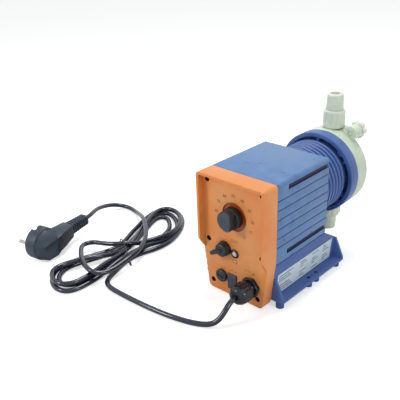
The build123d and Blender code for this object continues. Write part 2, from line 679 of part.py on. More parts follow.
# ---------------------------------------------------------------- drive
def solenoid_casing():
    """Ribbed round casing between the case and the ring, bored for the solenoid's pot."""
    profile = [(POT_R + GAP / 2, CASE_REAR), (RIB_ROOT_R, CASE_REAR)]
    first = CASE_REAR + 3.5
    for i in range(RIB_COUNT):
        y = first + i * RIB_PITCH
        end = y + RIB_WIDTH
        profile += [(RIB_ROOT_R, y), (RIB_R, y + 0.5), (RIB_R, end - 0.5), (RIB_ROOT_R, end)]
    profile += [(RIB_ROOT_R, RING_REAR - 5), (POT_R + GAP / 2, RING_REAR - 5)]
    return turned_y(profile)


def back_ring():
    """Ring that the head is clamped to, hollow on the case's side, with webs in the hollow."""
    ring = turned_y([
        (RING_BORE_R, RING_FRONT), (RING_R - 0.6, RING_FRONT), (RING_R, RING_FRONT + 0.6),
        (RING_R, RING_REAR), (ROD_R + 8, RING_REAR), (ROD_R + 8, RING_REAR - 4.5),
        (RING_BORE_R, RING_REAR - 4.5)])
    for i in range(RING_WEBS):
        web = block(RIB_ROOT_R + GAP / 2, RING_BORE_R + 1, RING_FRONT + 2, RING_REAR - 4,
                    -RING_WEB_WIDTH / 2, RING_WEB_WIDTH / 2)
        ring += Pos(0, 0, AXIS_Z) * Rot(0, -30 - 360 * i / RING_WEBS, 0) * web
    seat = rod_y(DIAPHRAGM_R + 0.2, RING_REAR - DIAPHRAGM_THICK / 2, RING_REAR + EPS)
    ring -= seat
    ring -= turned_y([(0, RING_REAR - 3.8), (DIAPHRAGM_ACTIVE_R, RING_REAR - 3.8),
                      (DIAPHRAGM_ACTIVE_R, RING_REAR), (0, RING_REAR)])
    for x, z in polar(HEAD_SCREW_PCD_R, HEAD_SCREWS, HEAD_SCREW_START):
        ring += rod_y(HEAD_SCREW_BOSS_R, RING_FRONT + 2, RING_REAR - 4, x, AXIS_Z + z)
    for x, z in polar(HEAD_SCREW_PCD_R, HEAD_SCREWS, HEAD_SCREW_START):
        ring -= rod_y(HEAD_SCREW_R, RING_FRONT + 3, RING_REAR + EPS, x, AXIS_Z + z)
    return ring


def solenoid_pot():
    """Steel pot round the coil, closed at the front by the plate that holds the stop bush."""
    r_in = POT_R - POT_WALL
    return turned_y([
        (STOP_BUSH_R, POT_FRONT), (POT_R, POT_FRONT), (POT_R, POT_REAR), (r_in, POT_REAR),
        (r_in, POT_FRONT + POT_WALL), (STOP_BUSH_R, POT_FRONT + POT_WALL)])


def coil_bobbin():
    """Bobbin whose bore guides the armature."""
    front, back = POT_FRONT + POT_WALL, CORE_FRONT
    return turned_y([
        (BOBBIN_BORE_R, front), (WINDING_R, front), (WINDING_R, front + 2), (BOBBIN_BORE_R + 2, front + 2),
        (BOBBIN_BORE_R + 2, back - 2), (WINDING_R, back - 2), (WINDING_R, back), (BOBBIN_BORE_R, back)])


def coil_winding():
    """Copper winding on the bobbin."""
    front, back = POT_FRONT + POT_WALL + 2, CORE_FRONT - 2
    return ring_y(WINDING_R - 1, BOBBIN_BORE_R + 2, front, back)


def fixed_core():
    """Fixed core that closes the pot, with the spring's pocket and the guide bush's bore."""
    core = rod_y(POT_R - POT_WALL, CORE_FRONT, POT_REAR)
    core -= rod_y(SPRING_POCKET_R, CORE_FRONT - EPS, CORE_FRONT + SPRING_POCKET_DEPTH)
    return core - rod_y(BUSH_R, CORE_FRONT, POT_REAR + EPS)


def guide_bush():
    """Bronze bush that the push rod runs in."""
    return ring_y(BUSH_R, ROD_R + SHAFT_CLEARANCE, CORE_FRONT + SPRING_POCKET_DEPTH, POT_REAR)


def armature():
    """Armature that the coil pulls towards the core."""
    body = turned_y([
        (0, ARMATURE_FRONT_END), (ARMATURE_R - 1, ARMATURE_FRONT_END), (ARMATURE_R, ARMATURE_FRONT_END + 1),
        (ARMATURE_R, ARMATURE_REAR_END), (0, ARMATURE_REAR_END)])
    return body - rod_y(ROD_R, ARMATURE_REAR_END - 14, ARMATURE_REAR_END + EPS)


DISC_REAR = RING_REAR - DIAPHRAGM_THICK / 2


def push_rod():
    """Push rod pressed into the armature and screwed into the diaphragm's disc."""
    return rod_y(ROD_R, ARMATURE_REAR_END - 14, DISC_REAR - DISC_THICK)


def return_spring():
    """Coil spring round the push rod that presses the armature back to the stop."""
    front = ARMATURE_REAR_END + SPRING_WIRE_R + 0.05
    length = CORE_FRONT + SPRING_POCKET_DEPTH - SPRING_WIRE_R - 0.05 - front
    path = Helix(length / SPRING_TURNS, length, SPRING_R)
    section = Plane(origin=path @ 0, z_dir=path % 0) * Circle(SPRING_WIRE_R)
    return Pos(0, front, AXIS_Z) * Rot(-90, 0, 0) * sweep(section, path, is_frenet=True)


def diaphragm_disc():
    """Metal disc moulded into the middle of the diaphragm."""
    front, step, edge = DISC_REAR - DISC_THICK, DISC_REAR - DISC_THICK / 2, DISC_R - 4
    return turned_y([(0, front), (DISC_HUB_R, front), (DISC_HUB_R, step), (edge, step),
                     (edge, DISC_REAR), (0, DISC_REAR)])


def diaphragm():
    """Elastomer diaphragm with a rolled working zone and a flat clamped rim."""
    front, back = RING_REAR - DIAPHRAGM_THICK / 2, RING_REAR + DIAPHRAGM_THICK / 2
    flat = DIAPHRAGM_ACTIVE_R
    return turned_y([
        (0, front), (DISC_R, front), (DISC_R + 3, front - 0.9), (flat - 3, front - 0.9), (flat, front),
        (DIAPHRAGM_R, front), (DIAPHRAGM_R, back), (flat, back), (flat - 3, back - 0.9),
        (DISC_R + 3, back - 0.9), (DISC_R, back), (0, back)])


# ---------------------------------------------------------------- liquid end
HEAD_FRONT = RING_REAR
HEAD_REAR = HEAD_FRONT + HEAD_THICK
VALVE_BLOCK_REAR = VALVE_Y + VALVE_BLOCK_HALF


def dosing_head():
    """Round pump head with a thick upright block for the valves and a boss for the bleed valve."""
    disc = turned_y([
        (0, HEAD_FRONT), (HEAD_R, HEAD_FRONT), (HEAD_R, HEAD_REAR - HEAD_EDGE_R),
        (HEAD_R - HEAD_EDGE_R * 0.3, HEAD_REAR - HEAD_EDGE_R * 0.3), (HEAD_R - HEAD_EDGE_R, HEAD_REAR),
        (0, HEAD_REAR)])
    reach = HEAD_R - 1.5
    head = disc + block(-VALVE_BLOCK_HALF, VALVE_BLOCK_HALF, HEAD_FRONT + HEAD_THICK / 2, VALVE_BLOCK_REAR,
                        AXIS_Z - reach, AXIS_Z + reach)
    head = fillet(head.edges().filter_by(Axis.Z).group_by(Axis.Y)[-1], 6)
    boss_end = HEAD_REAR + 3
    head += rod_y(BLEED_BOSS_R, boss_end - BLEED_BOSS_LENGTH, boss_end, BLEED_X, BLEED_Z)
    head -= rod_y(DIAPHRAGM_R + 0.2, HEAD_FRONT - EPS, HEAD_FRONT + DIAPHRAGM_THICK / 2)
    head -= rod_y(DIAPHRAGM_ACTIVE_R, HEAD_FRONT, HEAD_FRONT + HEAD_CHAMBER_DEPTH)
    for side in (-1, 1):
        rim = AXIS_Z + side * (HEAD_R + BLEED_BOSS_R)
        collar_r = VALVE_BODY_R if side > 0 else SUCTION_COLLAR_R
        head -= rod_z(collar_r + GAP, *sorted((rim, AXIS_Z + side * reach)), 0, VALVE_Y)
        head -= rod_z(VALVE_BORE_R, *sorted((rim, AXIS_Z + side * (reach - VALVE_SOCKET_DEPTH))), 0, VALVE_Y)
        head -= rod_z(SEAT_BORE_R, *sorted((rim, AXIS_Z + side * (PASSAGE_Z - 3))), 0, VALVE_Y)
        head -= rod_y(PASSAGE_R, HEAD_FRONT, VALVE_Y, 0, AXIS_Z + side * PASSAGE_Z)
    head -= rod_y(BLEED_STEM_R + SHAFT_CLEARANCE, HEAD_REAR - 10, HEAD_REAR + 4, BLEED_X, BLEED_Z)
    for x, z in polar(HEAD_SCREW_PCD_R, HEAD_SCREWS, HEAD_SCREW_START):
        head -= rod_y(HEAD_SCREW_R + 0.3, HEAD_FRONT - EPS, HEAD_REAR + EPS, x, AXIS_Z + z)
        seat = HEAD_REAR - HEAD_SCREW_HEAD - 1
        head -= rod_y(HEAD_SCREW_HEAD_R + 0.4, seat, HEAD_REAR + EPS, x, AXIS_Z + z)
    return head


def head_screws():
    """Socket-head screws through the head into the ring."""
    seat = HEAD_REAR - HEAD_SCREW_HEAD - 1
    tip = RING_FRONT + 5
    end = seat + HEAD_SCREW_HEAD
    profile = [(0, tip), (HEAD_SCREW_R - 0.05, tip), (HEAD_SCREW_R - 0.05, seat),
               (HEAD_SCREW_HEAD_R, seat), (HEAD_SCREW_HEAD_R, end), (0, end)]
    one = turned_y(profile, 0, 0) - hexagon_y(3.0, seat + 1.5, end + EPS, 0, 0)
    places = polar(HEAD_SCREW_PCD_R, HEAD_SCREWS, HEAD_SCREW_START)
    return Compound(children=[Pos(x, 0, AXIS_Z + z) * one for x, z in places])


def fluted(body, z0, z1, radius):
    """Body of a valve with upright flutes round it for the fingers."""
    for x, y in polar(radius + 1.1, VALVE_FLUTES, 15):
        body -= rod_z(1.9, z0, z1, x, VALVE_Y + y)
    return body


TOP_SOCKET = AXIS_Z + HEAD_R - 1.5
TOP_FLOOR = TOP_SOCKET - VALVE_SOCKET_DEPTH
LOW_SOCKET = AXIS_Z - HEAD_R + 1.5
LOW_FLOOR = LOW_SOCKET + VALVE_SOCKET_DEPTH
TAIL_R = VALVE_BORE_R - 0.05
CAGE_R = BALL_R + 1.2
CAGE_HEIGHT = 2 * BALL_R + BALL_LIFT + 0.6
SEAT_THICK = 3.0


def discharge_valve():
    """Discharge valve body: tail in the head, fluted barrel, ball cage and an outlet bore."""
    body = turned_z([
        (0, TOP_FLOOR + SEAT_THICK), (TAIL_R, TOP_FLOOR + SEAT_THICK), (TAIL_R, TOP_SOCKET + SEAL_THICK),
        (VALVE_BODY_R, TOP_SOCKET + SEAL_THICK), (VALVE_BODY_R, DISCHARGE_HEX_TOP - 1.5),
        (VALVE_BODY_R - 1.5, DISCHARGE_HEX_TOP), (0, DISCHARGE_HEX_TOP)], 0, VALVE_Y)
    body = fluted(body, TOP_SOCKET + 3.5, DISCHARGE_HEX_TOP - 2.5, VALVE_BODY_R)
    floor = TOP_FLOOR + SEAT_THICK
    body -= rod_z(CAGE_R, floor - EPS, floor + CAGE_HEIGHT, 0, VALVE_Y)
    return body - rod_z(NOZZLE_BORE_R, floor, DISCHARGE_HEX_TOP + EPS, 0, VALVE_Y)


def discharge_nozzle():
    """Tapered outlet nozzle on top of the discharge valve."""
    z0 = DISCHARGE_HEX_TOP
    nozzle = turned_z([
        (NOZZLE_BORE_R, z0), (NOZZLE_R, z0), (NOZZLE_R, z0 + 3), (NOZZLE_TIP_R, DISCHARGE_TOP - 1),
        (NOZZLE_TIP_R - 1, DISCHARGE_TOP), (NOZZLE_TIP_R - 3.4, DISCHARGE_TOP),
        (NOZZLE_TIP_R - 3.6, DISCHARGE_TOP - 8), (NOZZLE_BORE_R, DISCHARGE_TOP - 9)], 0, VALVE_Y)
    return nozzle


def valve_seat(z0):
    """Seat ring under a ball, bored a little narrower than the ball."""
    seat = rod_z(TAIL_R, z0, z0 + SEAT_THICK, 0, VALVE_Y) - rod_z(SEAT_BORE_R, z0 - 1, z0 + 9, 0, VALVE_Y)
    return seat - Pos(0, VALVE_Y, ball_centre(z0)) * Sphere(BALL_R + 0.02)


def ball_centre(seat_floor):
    """Height of a ball that rests on the rim of its seat."""
    return seat_floor + SEAT_THICK - 0.6 + (BALL_R ** 2 - SEAT_BORE_R ** 2) ** 0.5


def ball(seat_floor):
    """Ceramic ball on its seat, free to lift."""
    return Pos(0, VALVE_Y, ball_centre(seat_floor) + 0.05) * Sphere(BALL_R)


LOW_SEAT = LOW_SOCKET - 6.0


def suction_valve():
    """Suction valve body: tail in the head, collar, and the cage of the lower ball."""
    body = turned_z([
        (0, LOW_FLOOR), (TAIL_R, LOW_FLOOR), (TAIL_R, LOW_SOCKET - SEAL_THICK),
        (SUCTION_COLLAR_R, LOW_SOCKET - SEAL_THICK), (SUCTION_COLLAR_R, SUCTION_COLLAR_BOTTOM + 5),
        (VALVE_BODY_R, SUCTION_COLLAR_BOTTOM), (0, SUCTION_COLLAR_BOTTOM)], 0, VALVE_Y)
    body = fluted(body, SUCTION_COLLAR_BOTTOM - 1, LOW_SOCKET - 6, SUCTION_COLLAR_R)
    body -= rod_z(VALVE_BORE_R, SUCTION_COLLAR_BOTTOM - 1, LOW_SEAT + SEAT_THICK, 0, VALVE_Y)
    body -= rod_z(CAGE_R, LOW_SEAT, LOW_SEAT + SEAT_THICK + CAGE_HEIGHT, 0, VALVE_Y)
    return body - rod_z(SEAT_BORE_R, LOW_SEAT, LOW_FLOOR + EPS, 0, VALVE_Y)


def suction_nozzle():
    """Inlet nozzle below the suction valve; its upright pipe holds the seat in place."""
    tail = LOW_SEAT
    return turned_z([
        (NOZZLE_BORE_R, tail), (TAIL_R, tail), (TAIL_R, SUCTION_COLLAR_BOTTOM),
        (NOZZLE_R, SUCTION_COLLAR_BOTTOM),
        (NOZZLE_R, SUCTION_BOTTOM + 1), (NOZZLE_R - 1, SUCTION_BOTTOM), (NOZZLE_R - 4, SUCTION_BOTTOM),
        (NOZZLE_R - 4.2, SUCTION_BOTTOM + 8), (NOZZLE_BORE_R, SUCTION_BOTTOM + 9)], 0, VALVE_Y)


def valve_seal(z0):
    """Flat rubber seal between a valve's shoulder and the head."""
    ring = rod_z(SEAL_R, z0, z0 + SEAL_THICK, 0, VALVE_Y)
    return ring - rod_z(VALVE_BORE_R, z0 - 1, z0 + SEAL_THICK + 1, 0, VALVE_Y)


def bleed_stem():
    """Stem of the bleed valve, turning in the head's boss, with the knob's spigot."""
    knob_front = HEAD_REAR + BLEED_KNOB_GAP
    return turned_y([
        (0, HEAD_REAR - 9.5), (BLEED_STEM_R - 1.4, HEAD_REAR - 9.5), (BLEED_STEM_R, HEAD_REAR - 8),
        (BLEED_STEM_R, HEAD_REAR + 3.3), (BLEED_STEM_R + 2, HEAD_REAR + 3.3), (BLEED_STEM_R + 2, knob_front),
        (0, knob_front)], BLEED_X, BLEED_Z)


def bleed_knob():
    """Star knob of the bleed valve."""
    front = HEAD_REAR + BLEED_KNOB_GAP
    knob = rod_y(BLEED_KNOB_R, front, front + BLEED_KNOB_THICK, 0, 0)
    for x, z in polar(BLEED_KNOB_R + 1.4, BLEED_LOBES, 180 / BLEED_LOBES):
        knob -= rod_y(3.4, front - EPS, front + BLEED_KNOB_THICK + EPS, x, z)
    knob = chamfer(knob.faces().sort_by(Axis.Y)[-1].edges(), 0.6)
    return Pos(BLEED_X, 0, BLEED_Z) * knob


# ---------------------------------------------------------------- mains lead
ARM_END = PLUG_R + PLUG_ARM_LENGTH - 14.0
RELIEF_END = ARM_END + RELIEF_LENGTH


def tube(points, radius=CORD_R):
    """Round lead along straight runs joined by the largest tangent arcs that they allow."""
    route = [Vector(*p) for p in points]
    radii = []
    for before, at, after in zip(route, route[1:], route[2:]):
        turn = radians((at - before).get_angle(after - at))
        radii.append(0.45 * min((at - before).length, (after - at).length) / tan(turn / 2))
    path = FilletPolyline(*route, radius=radii)
    print("bend radii", [round(r, 1) for r in radii], "length", round(path.length, 1))
    section = Plane(origin=path @ 0, z_dir=path % 0) * Circle(radius)
    lead = sweep(section, path)
    print("volume share", round(lead.volume / (pi * radius ** 2 * path.length), 4))
    return lead


MAINS_ROUTE = [
    (GLAND_X, GLAND_MOUTH + 8.0, GLAND_Z),
    (GLAND_X, GLAND_MOUTH - 7.5, GLAND_Z - 0.5),
    (21.5, -32.0, 20.0),
    (18.5, -40.0, 11.5),
    (12.5, -46.5, 5.2),
    (2.0, -52.5, 3.1),
    (-13.0, -60.0, 3.1),
    (-33.0, -68.5, 3.1),
    (-54.0, -74.0, 3.1),
    (-78.0, -75.8, 3.1),
    (-101.0, -74.5, 3.1),
    (-119.0, -72.5, 3.1),
    (-130.0, -68.5, 3.1),
    (-137.0, -60.5, 3.1),
    (-141.5, -50.5, 3.1),
    (-147.0, -40.0, 3.1),
    (-154.0, -30.0, 3.1)]


def plug_point(along):
    """A point on the axis of the plug's arm, at a distance from the middle of the plug."""
    middle = (PLUG_DOME - PLUG_THICK + 3) / 2
    turn = radians(PLUG_TURN)
    return (PLUG_X + middle * cos(turn) - along * sin(turn), PLUG_Y + middle * sin(turn) + along * cos(turn),
            PLUG_R + 0.02)


PLUG_ROUTE = [
    (-197.0, 54.5, 10.0),
    (-209.0, 63.0, 7.0),
    (-223.0, 71.0, 4.2),
    (-239.0, 77.5, 3.1),
    (-257.0, 79.5, 3.2),
    (-270.0, 75.0, 5.0),
    (-276.5, 63.5, 8.5),
    (-276.0, 49.0, 12.5),
    (-271.0, 34.5, 16.5),
    (-264.5, 20.5, 19.8),
    plug_point(RELIEF_END + 10.0),
    plug_point(RELIEF_END - 8.0)]


def plug_place(shape):
    """Place a plug piece that was drawn with its pins along -X and its lead arm along +Y."""
    return Pos(PLUG_X, PLUG_Y, PLUG_R + 0.02) * Rot(0, 0, PLUG_TURN) * shape


def plug_body():
    """Angled two-pin earthed plug: round face, domed back, flats on both sides and a lead arm."""
    dome = Rot(0, 90, 0) * revolve(Plane.XZ * outline([
        (0, -PLUG_THICK), (PLUG_R - 1.2, -PLUG_THICK), (PLUG_R, -PLUG_THICK + 1.2), (PLUG_R, 0),
        (PLUG_R - 6, PLUG_DOME), (0, PLUG_DOME)]), Axis.Z)
    arm = block(-PLUG_THICK + 3, PLUG_DOME, 0, ARM_END, -PLUG_ARM_WIDTH / 2, PLUG_ARM_WIDTH / 2)
    arm = fillet(arm.edges().filter_by(Axis.Y), 3.5)
    body = dome + arm
    for side in (-1, 1):
        notch = sorted((side * (PLUG_R - 1.8), side * (PLUG_R + 1)))
        body -= block(-PLUG_THICK - 1, -PLUG_THICK + 12, -3.5, 3.5, *notch)
    return plug_place(body)


def plug_pins():
    """Two round pins."""
    pin = Rot(0, 90, 0) * Cylinder(PIN_R, PIN_LENGTH)
    middle = -PLUG_THICK - PIN_LENGTH / 2
    return Compound(children=[
        plug_place(Pos(middle, side * PIN_HALF_SPACING, 0) * pin) for side in (-1, 1)])


def strain_relief():
    """Ribbed, tapering strain relief on the plug's arm."""
    start = ARM_END
    profile = [(CORD_R + 0.05, start), (RELIEF_R, start)]
    ribs = 6
    for i in range(ribs):
        y = start + 3 + i * (RELIEF_LENGTH - 4) / ribs
        r = RELIEF_R + (RELIEF_END_R - RELIEF_R) * i / ribs
        profile += [(r, y), (r - 1.3, y + 0.6), (r - 1.3, y + 1.9), (r - 0.15, y + 2.5)]
    profile += [(RELIEF_END_R, RELIEF_END), (CORD_R + 0.05, RELIEF_END)]
    relief = revolve(outline(profile), Axis.Y)
    return plug_place(Pos((PLUG_DOME - PLUG_THICK + 3) / 2, 0, 0) * relief)


HANK_OUTLINE = [
    (-158.0, -127.5), (-147.0, -108.0), (-146.5, -66.0), (-149.5, -36.0), (-144.0, -6.0), (-134.5, 20.0),
    (-138.0, 56.0), (-152.0, 90.0), (-182.0, 111.0), (-213.0, 106.0), (-213.0, 74.0), (-190.0, 24.0),
    (-181.0, -2.0), (-206.0, -14.0), (-215.0, -32.0), (-196.0, -58.0), (-202.0, -100.0), (-186.0, -126.0)]


def cord_hank():
    """Outer shape of the lead's hank, gathered at the tie and open at both ends."""
    shape = make_face(Spline(*HANK_OUTLINE, periodic=True))
    return Pos(0, 0, 0.02) * extrude(shape, HANK_HEIGHT)


def cord_tie():
    """Wire tie round the waist of the hank."""
    front, back = HANK_WAIST_Y - TIE_WIDTH / 2, HANK_WAIST_Y + TIE_WIDTH / 2
    waist = cord_hank() & block(-TIE_REACH, 0, front, back, -1, 2 * HANK_HEIGHT)
    box = waist.bounding_box()
    top = box.max.Z
    return block(box.min.X, box.max.X, box.min.Y, box.max.Y, top, top + TIE_THICK)


# ---------------------------------------------------------------- all pieces
PIECES = {
    "front_cover": front_cover,
    "cover_screws": cover_screws,
    "housing": housing,
    "foot": foot,
    "foot_screws": foot_screws,
    "label_plate": label_plate,
    "stroke_knob": stroke_knob,
    "stroke_spindle": stroke_spindle,
    "stop_pin": stop_pin,
    "stop_bush": stop_bush,
    "selector_knob": selector_knob,
    "rotary_switch": rotary_switch,
    "lamp_bezel": lamp_bezel,
    "lamp_lens": lamp_lens,
    "fuse_cap": fuse_cap,
    "fuse_holder": fuse_holder,
    "socket_cover": socket_cover,
    "gland_body": gland_body,
    "gland_nut": gland_nut,
    "gland_seal": gland_seal,
    "gland_locknut": gland_locknut,
    "circuit_board": circuit_board,
    "board_parts": board_parts,
    "solenoid_casing": solenoid_casing,
    "solenoid_pot": solenoid_pot,
    "coil_bobbin": coil_bobbin,
    "coil_winding": coil_winding,
    "fixed_core": fixed_core,
    "guide_bush": guide_bush,
    "armature": armature,
    "push_rod": push_rod,
    "return_spring": return_spring,
    "back_ring": back_ring,
    "diaphragm": diaphragm,
    "diaphragm_disc": diaphragm_disc,
    "dosing_head": dosing_head,
    "head_screws": head_screws,
    "discharge_valve": discharge_valve,
    "discharge_seal": lambda: valve_seal(TOP_SOCKET),
    "discharge_seat": lambda: valve_seat(TOP_FLOOR),
    "discharge_ball": lambda: ball(TOP_FLOOR),
    "discharge_nozzle": discharge_nozzle,
    "suction_valve": suction_valve,
    "suction_seal": lambda: valve_seal(LOW_SOCKET - SEAL_THICK),
    "suction_seat": lambda: valve_seat(LOW_SEAT),
    "suction_ball": lambda: ball(LOW_SEAT),
    "suction_nozzle": suction_nozzle,
    "bleed_stem": bleed_stem,
    "bleed_knob": bleed_knob,
    "mains_lead": lambda: tube(MAINS_ROUTE),
    "plug_lead": lambda: tube(PLUG_ROUTE),
    "cord_hank": cord_hank,
    "cord_tie": cord_tie,
    "strain_relief": strain_relief,
    "plug_body": plug_body,
    "plug_pins": plug_pins,
}

os.makedirs("parts", exist_ok=True)
for name, make in PIECES.items():
    export(name, make())
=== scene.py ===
import json
import math

import bmesh
import bpy
from mathutils import Matrix, Vector


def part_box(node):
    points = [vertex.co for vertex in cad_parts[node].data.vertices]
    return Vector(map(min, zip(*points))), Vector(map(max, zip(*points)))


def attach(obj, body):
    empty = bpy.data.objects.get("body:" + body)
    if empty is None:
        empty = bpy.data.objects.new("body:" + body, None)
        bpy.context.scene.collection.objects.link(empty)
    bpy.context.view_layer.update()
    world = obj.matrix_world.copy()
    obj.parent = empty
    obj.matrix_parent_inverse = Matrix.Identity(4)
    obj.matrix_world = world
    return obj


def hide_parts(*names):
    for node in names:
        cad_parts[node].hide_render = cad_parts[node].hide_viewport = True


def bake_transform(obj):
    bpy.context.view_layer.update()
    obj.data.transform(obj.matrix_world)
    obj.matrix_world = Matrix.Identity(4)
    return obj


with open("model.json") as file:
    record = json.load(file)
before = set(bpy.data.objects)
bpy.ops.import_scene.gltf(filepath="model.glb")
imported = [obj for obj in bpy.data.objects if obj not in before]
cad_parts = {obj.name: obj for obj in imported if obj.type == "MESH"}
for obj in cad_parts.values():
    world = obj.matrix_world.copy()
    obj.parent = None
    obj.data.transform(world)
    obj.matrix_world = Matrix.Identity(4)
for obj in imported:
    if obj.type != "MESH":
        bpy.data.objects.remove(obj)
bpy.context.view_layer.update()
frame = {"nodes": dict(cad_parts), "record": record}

# ---------------------------------------------------------------- studio
# A white sweep of floor under soft overhead light, with a camera on the panel's
# right, looking down at the pump and its lead. Nothing here is part of the pump.
camera_eye = Vector((0.3617, -0.5042, 0.3883))
camera_target = Vector((-0.1091, -0.0180, 0.0651))
camera_roll = math.radians(-2.27)
camera_data = bpy.data.cameras.new("camera")
camera_data.lens = 54.0
camera_data.sensor_width = 36.0
camera_data.clip_end = 20.0
camera = bpy.data.objects.new("camera", camera_data)
bpy.context.collection.objects.link(camera)
ahead = (camera_target - camera_eye).normalized()
level = ahead.cross(Vector((0, 0, 1))).normalized()
upward = level.cross(ahead)
right = level * math.cos(camera_roll) + upward * math.sin(camera_roll)
up = upward * math.cos(camera_roll) - level * math.sin(camera_roll)
camera.matrix_world = Matrix.Translation(camera_eye) @ Matrix((right, up, -ahead)).transposed().to_4x4()
bpy.context.scene.camera = camera
bpy.context.scene.view_settings.view_transform = "Standard"

world = bpy.data.worlds.new("studio")
bpy.context.scene.world = world
world.use_nodes = True
sky = world.node_tree
sky.nodes.clear()
seen = sky.nodes.new("ShaderNodeLightPath")
seen_or_mirrored = sky.nodes.new("ShaderNodeMath")
seen_or_mirrored.operation = "MAXIMUM"
seen_at_all = sky.nodes.new("ShaderNodeMath")
seen_at_all.operation = "MAXIMUM"
ambient = sky.nodes.new("ShaderNodeBackground")
ambient.inputs["Color"].default_value = (0.97, 0.985, 1.0, 1)
ambient.inputs["Strength"].default_value = 0.42
white = sky.nodes.new("ShaderNodeBackground")
white.inputs["Color"].default_value = (1, 1, 1, 1)
white.inputs["Strength"].default_value = 1.0
choice = sky.nodes.new("ShaderNodeMixShader")
sky_out = sky.nodes.new("ShaderNodeOutputWorld")
sky.links.new(seen.outputs["Is Camera Ray"], seen_or_mirrored.inputs[0])
sky.links.new(seen.outputs["Is Glossy Ray"], seen_or_mirrored.inputs[1])
sky.links.new(seen_or_mirrored.outputs[0], seen_at_all.inputs[0])
sky.links.new(seen.outputs["Is Transmission Ray"], seen_at_all.inputs[1])
sky.links.new(seen_at_all.outputs[0], choice.inputs[0])
sky.links.new(ambient.outputs[0], choice.inputs[1])
sky.links.new(white.outputs[0], choice.inputs[2])
sky.links.new(choice.outputs[0], sky_out.inputs["Surface"])

for lamp_name, place, aim, side, watts in (
        ("overhead_box", (-0.15, 0.25, 1.1), (-0.05, 0.0, 0.0), 0.36, 6.1),
        ("front_left_box", (-0.6, -1.0, 0.75), (-0.05, 0.0, 0.08), 0.32, 5.4),
        ("right_box", (1.0, -0.1, 0.45), (0.0, 0.0, 0.08), 0.3, 2.6)):
    lamp_data = bpy.data.lights.new(lamp_name, "AREA")
    lamp_data.size = side
    lamp_data.energy = watts
    lamp = bpy.data.objects.new(lamp_name, lamp_data)
    bpy.context.collection.objects.link(lamp)
    lamp.location = place
    lamp.rotation_euler = (Vector(aim) - Vector(place)).to_track_quat("-Z", "Y").to_euler()

floor_mesh = bpy.data.meshes.new("floor")
floor_mesh.from_pydata([(-4, -4, 0), (4, -4, 0), (4, 4, 0), (-4, 4, 0)], [], [(0, 1, 2, 3)])
floor = bpy.data.objects.new("floor", floor_mesh)
bpy.context.collection.objects.link(floor)
floor.location.z = -0.0002
paper = bpy.data.materials.new("white_paper")
paper.use_nodes = True
paper_shader = paper.node_tree.nodes["Principled BSDF"]
paper_shader.inputs["Base Color"].default_value = (0.86, 0.86, 0.86, 1)
paper_shader.inputs["Roughness"].default_value = 0.9
paper_shader.inputs["Specular IOR Level"].default_value = 0.1
paper_shader.inputs["Emission Color"].default_value = (1, 1, 1, 1)
paper_seen = paper.node_tree.nodes.new("ShaderNodeLightPath")
paper_glow = paper.node_tree.nodes.new("ShaderNodeMath")
paper_glow.operation = "MULTIPLY"
paper_glow.inputs[1].default_value = 0.55
paper.node_tree.links.new(paper_seen.outputs["Is Camera Ray"], paper_glow.inputs[0])
paper.node_tree.links.new(paper_glow.outputs[0], paper_shader.inputs["Emission Strength"])
floor_mesh.materials.append(paper)


# ---------------------------------------------------------------- front cover
# One hooded shell of orange engineering plastic, moulded with a fine satin grain.
# It stands on the end of the case and carries every control and the lead's gland.
def linear(red, green, blue):
    """Screen colour in 0-255 steps as the linear values that a shader takes."""
    return tuple((c / 255 / 12.92) if c < 10 else ((c / 255 + 0.055) / 1.055) ** 2.4
                 for c in (red, green, blue)) + (1.0,)


def moulded_surface():
    """Node group: a colour that drifts between two tones, a roughness that drifts too, and a fine grain."""
    group = bpy.data.node_groups.new("moulded_surface", "ShaderNodeTree")
    for label, kind in (("Deep", "NodeSocketColor"), ("Pale", "NodeSocketColor"),
                        ("Patch Scale", "NodeSocketFloat"), ("Grain Scale", "NodeSocketFloat"),
                        ("Smoothest", "NodeSocketFloat"), ("Roughest", "NodeSocketFloat")):
        group.interface.new_socket(name=label, in_out="INPUT", socket_type=kind)
    for label, kind in (("Color", "NodeSocketColor"), ("Roughness", "NodeSocketFloat"),
                        ("Height", "NodeSocketFloat")):
        group.interface.new_socket(name=label, in_out="OUTPUT", socket_type=kind)
    add, join = group.nodes.new, group.links.new
    given, made = add("NodeGroupInput"), add("NodeGroupOutput")
    place = add("ShaderNodeTexCoord")
    patches = add("ShaderNodeTexNoise")
    patches.inputs["Detail"].default_value = 4.0
    join(place.outputs["Object"], patches.inputs["Vector"])
    join(given.outputs["Patch Scale"], patches.inputs["Scale"])
    spread = add("ShaderNodeMapRange")
    spread.inputs["From Min"].default_value = 0.3
    spread.inputs["From Max"].default_value = 0.7
    join(patches.outputs["Fac"], spread.inputs["Value"])
    tone = add("ShaderNodeMix")
    tone.data_type = "RGBA"
    join(spread.outputs["Result"], tone.inputs["Factor"])
    join(given.outputs["Deep"], tone.inputs["A"])
    join(given.outputs["Pale"], tone.inputs["B"])
    join(tone.outputs["Result"], made.inputs["Color"])
    grain = add("ShaderNodeTexNoise")
    grain.inputs["Detail"].default_value = 2.0
    join(place.outputs["Object"], grain.inputs["Vector"])
    join(given.outputs["Grain Scale"], grain.inputs["Scale"])
    join(grain.outputs["Fac"], made.inputs["Height"])
    rubbed = add("ShaderNodeMapRange")
    join(spread.outputs["Result"], rubbed.inputs["Value"])
    join(given.outputs["Smoothest"], rubbed.inputs["To Min"])
    join(given.outputs["Roughest"], rubbed.inputs["To Max"])
    join(rubbed.outputs["Result"], made.inputs["Roughness"])
    return group


surface = moulded_surface()


